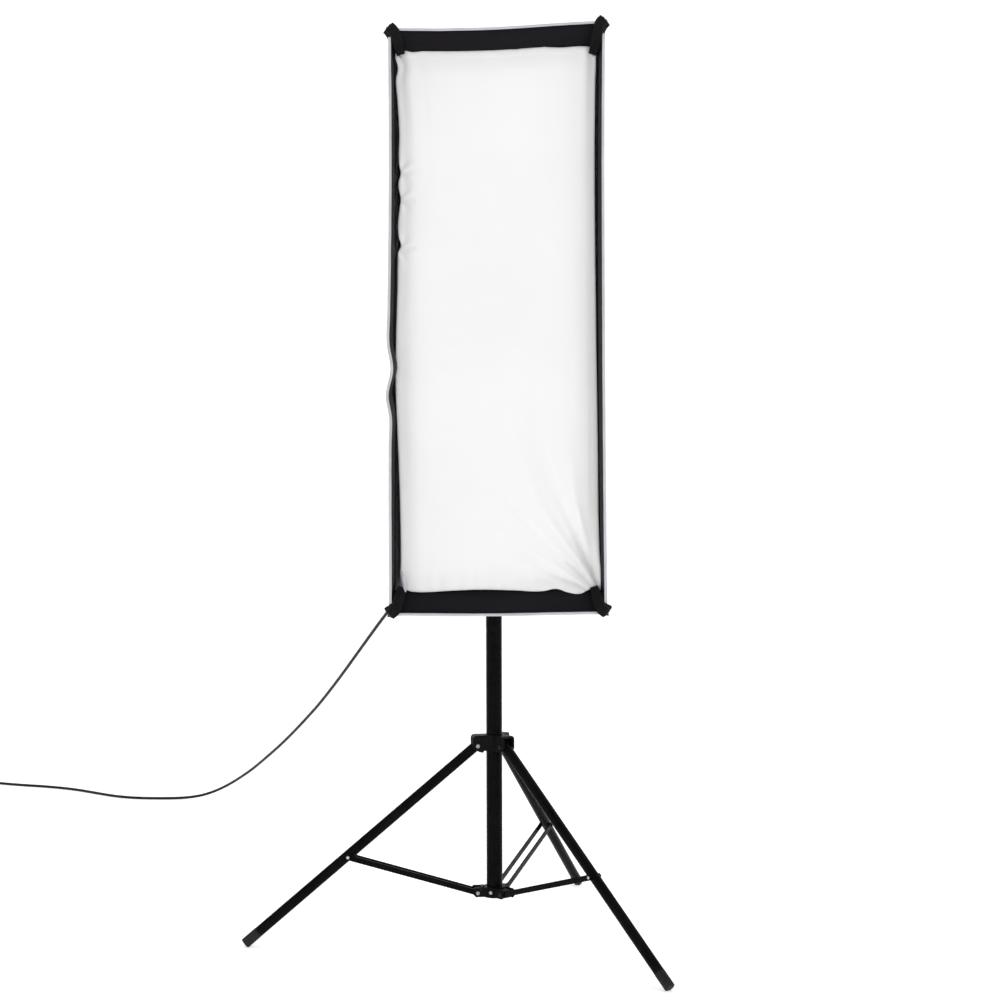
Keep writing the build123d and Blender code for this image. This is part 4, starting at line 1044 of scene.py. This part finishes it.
# ---- diffusion cloth
def sheet_mesh(name, x, y, z, material, replaces):
    """A thin closed sheet from grids of its front face, thickened backwards."""
    front = stacked(x, y, z)
    back = [[p + Vector((0, CLOTH_T, 0)) for p in row] for row in front]
    high, wide = len(front), len(front[0])
    verts = [p for row in front for p in row] + [p for row in back for p in row]
    faces, uvs = [], []

    def quad(*corners):
        faces.append([side * high * wide + r * wide + c for side, r, c in corners])
        uvs.append([(front[r][c].x, front[r][c].z) for _, r, c in corners])

    for r in range(high - 1):
        for c in range(wide - 1):
            for side in (0, 1):
                quad((side, r, c), (side, r, c + 1), (side, r + 1, c + 1), (side, r + 1, c))
        for c in (0, wide - 1):
            quad((0, r, c), (0, r + 1, c), (1, r + 1, c), (1, r, c))
    for c in range(wide - 1):
        for r in (0, high - 1):
            quad((0, r, c), (0, r, c + 1), (1, r, c + 1), (1, r, c))
    made = new_mesh(name, verts, faces, material, "softbox", uvs=uvs)
    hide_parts(replaces)
    return made


CLOTH_T = 0.0006
CLOTH_GAP = 0.8
EDGE_Y = DIFFUSER_Y - 3


def inside_wall(wall, at, out_axis):
    """How far out a sheet's edge may lie on one wall, at places along that wall."""
    s = np.linspace(0, 1, 120)
    shares = np.full(120, (REAR_Y - EDGE_Y) / DEPTH)
    x, _, z = on_shell(wall, s, shares, SHELL_T + CLOTH_GAP)
    along, out = (x, z) if out_axis == "z" else (z, x)
    order = np.argsort(along)
    return np.interp(at, along[order], out[order])


across, up = np.meshgrid(np.linspace(0, 1, 110), np.linspace(0, 1, 260))
rough_x = -190 + 382 * across
low = np.maximum(through(CLOTH_BOTTOM, rough_x), inside_wall("bottom", rough_x, "z"))
high = np.minimum(through(CLOTH_TOP, rough_x), inside_wall("top", rough_x, "z"))
z = low + (high - low) * up
left = np.maximum(through(CLOTH_LEFT, z), inside_wall("left", z, "x"))
right = np.minimum(through(CLOTH_RIGHT, z), inside_wall("right", z, "x"))
x = left + (right - left) * across
from_left, from_right, from_top, from_bottom = x - left, right - x, high - z, z - low
edge = np.minimum(np.minimum(from_left, from_right), np.minimum(from_top, from_bottom))
relief = 4.0 * (1 - ease(edge, 0, 45))
relief = relief + 2.4 * ruffle(x / 120, z / 260, x * 0 + 4) * ease(edge, 0, 60)
# Soft upright folds hang from the top corners.
for away, folds in (
    (from_left, ((10, 5, 3.2, 60), (26, 8, -1.6, 190), (48, 12, 1.2, 260))),
    (from_right, ((8, 4, 1.8, 80), (22, 7, -1.4, 150), (40, 10, 1.0, 200))),
):
    for at, wide, deep, length in folds:
        fold = np.exp(-((away - at) / wide) ** 2)
        relief = relief + deep * fold * np.exp(-from_top / length)
# Folds fan out of the lower right corner, where the cloth is pulled tight.
PULL_X, PULL_Z = 200, 795
reach = np.hypot(x - PULL_X, z - PULL_Z)
angle = np.arctan2(z - PULL_Z, PULL_X - x)
fan = np.sin(11.5 * angle + 0.9 * ruffle(x / 60, z / 60, x * 0 + 9))
relief = relief + 5.0 * fan * np.exp(-((reach - 60) / 70) ** 2) * ease(reach, 4, 30)
# Longer, shallower folds run up and left from the same corner, bending as they go.
for turn, wide, deep, start, length in (
    (0.74, 0.060, 5.5, 60, 300), (0.93, 0.055, -4.5, 80, 330), (1.10, 0.050, 4.5, 90, 360),
    (0.52, 0.070, -3.8, 60, 230), (1.26, 0.045, -3.0, 120, 300), (0.30, 0.06, 2.6, 60, 200),
):
    bend = turn + 0.00028 * reach + 0.05 * ruffle(x / 150, z / 150, x * 0 + deep)
    fold = np.exp(-((angle - bend) / wide) ** 2) * np.exp(-((reach / length) ** 2))
    relief = relief + 1.5 * deep * fold * ease(reach, start * 0.4, start)
# Small gathers along the bottom, and puckers where the left lip's tape pulls.
gather = np.sin(x / 4.6 + 2.5 * ruffle(x / 40, z / 50, x * 0 + 1))
relief = relief + 1.3 * gather * np.exp(-from_bottom / 26)
for height in LIP_BUMPS:
    away = np.hypot(from_left, z - height)
    spread = np.arctan2(z - height, from_left + 2)
    relief = relief + 1.3 * np.sin(7 * spread + 1) * np.exp(-((away - 16) / 17) ** 2)
# A hem ridge a finger's width inside the edge.
relief = relief - 0.8 * np.exp(-((edge - 8) / 1.6) ** 2)
relief = np.minimum(relief, 4.2 + 0.6 * edge)
diffuser = sheet_mesh("front_diffuser_cloth", x, EDGE_Y - 4 + relief, z, diffusion_cloth,
                      "front_diffuser")

# The inner baffle bellies a little, and its edges curve in between its corners.
BAFFLE_Y = -380.0
low_box, high_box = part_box("inner_baffle")
centre_z = (low_box[2] + high_box[2]) / 2 / mm
half_x, half_z = high_box[0] / mm, (high_box[2] - low_box[2]) / 2 / mm
across, up = np.meshgrid(np.linspace(-1, 1, 46), np.linspace(-1, 1, 90))
scallop_x = half_x * (1 - 0.045 * (1 - up**2) - 0.16 * np.clip(np.abs(up) - 0.9, 0, 1) * 6)
scallop_z = half_z * (1 - 0.03 * (1 - across**2))
x, z = across * scallop_x, centre_z + up * scallop_z
y = BAFFLE_Y + 3 * (1 - across**2) * (1 - up**2) + 1.4 * ruffle(x / 60, z / 80, x * 0)
baffle = sheet_mesh("inner_baffle_cloth", x, y, z, baffle_cloth, "inner_baffle")


# ---- the stage
def pale_floor():
    m = Mat("pale_floor")
    return m.set(
        Base_Color=m.mix(m.noise(m.where(), 3, 3), grey(0.89), grey(0.91)),
        Roughness=0.9,
        Specular_IOR_Level=0.1,
        Emission_Color=(1, 1, 1),
        Emission_Strength=0.45,
    )


# A round floor whose edge curves up into a wall.
FLAT_R, BEND_R, WALL_TOP, BEND_STEPS = 8.5, 2.5, 7.0, 9
profile = [(0.01, 0.0), (FLAT_R, 0.0)]
for step in range(1, BEND_STEPS + 1):
    turn = math.pi / 2 * step / BEND_STEPS
    profile.append((FLAT_R + BEND_R * math.sin(turn), BEND_R - BEND_R * math.cos(turn)))
profile.append((FLAT_R + BEND_R, WALL_TOP))
SIDES = 72
turns = [2 * math.pi * k / SIDES for k in range(SIDES)]
verts = [(r * math.cos(a), r * math.sin(a), z) for r, z in profile for a in turns]
faces = [
    [(i + up) * SIDES + (k + on) % SIDES for up, on in ((0, 0), (0, 1), (1, 1), (1, 0))]
    for i in range(len(profile) - 1) for k in range(SIDES)
]
faces.append(range(SIDES))
floor = new_mesh("floor", verts, faces, pale_floor(), None)


def area_light(name, at, target, size, power):
    data = bpy.data.lights.new(name, "AREA")
    data.shape = "RECTANGLE"
    data.size, data.size_y = size
    data.energy = power
    light = bpy.data.objects.new(name, data)
    scene.collection.objects.link(light)
    light.location = at
    way = Vector(target) - Vector(at)
    light.rotation_euler = way.to_track_quat("-Z", "Y").to_euler()


area_light("overhead", (0, 0.5, 4.6), (0, 0.5, 0), (8, 9), 185)
area_light("key", (3.0, -4.4, 3.0), (0, -0.3, 1.0), (0.5, 2.4), 28)
area_light("fill", (-3.4, -3.8, 2.2), (0, -0.3, 0.9), (0.5, 2.6), 12)
world = bpy.data.worlds.new("studio")
scene.world = world
world.use_nodes = True
background = world.node_tree.nodes["Background"]
background.inputs["Color"].default_value = (1, 1, 1, 1)
background.inputs["Strength"].default_value = 0.15
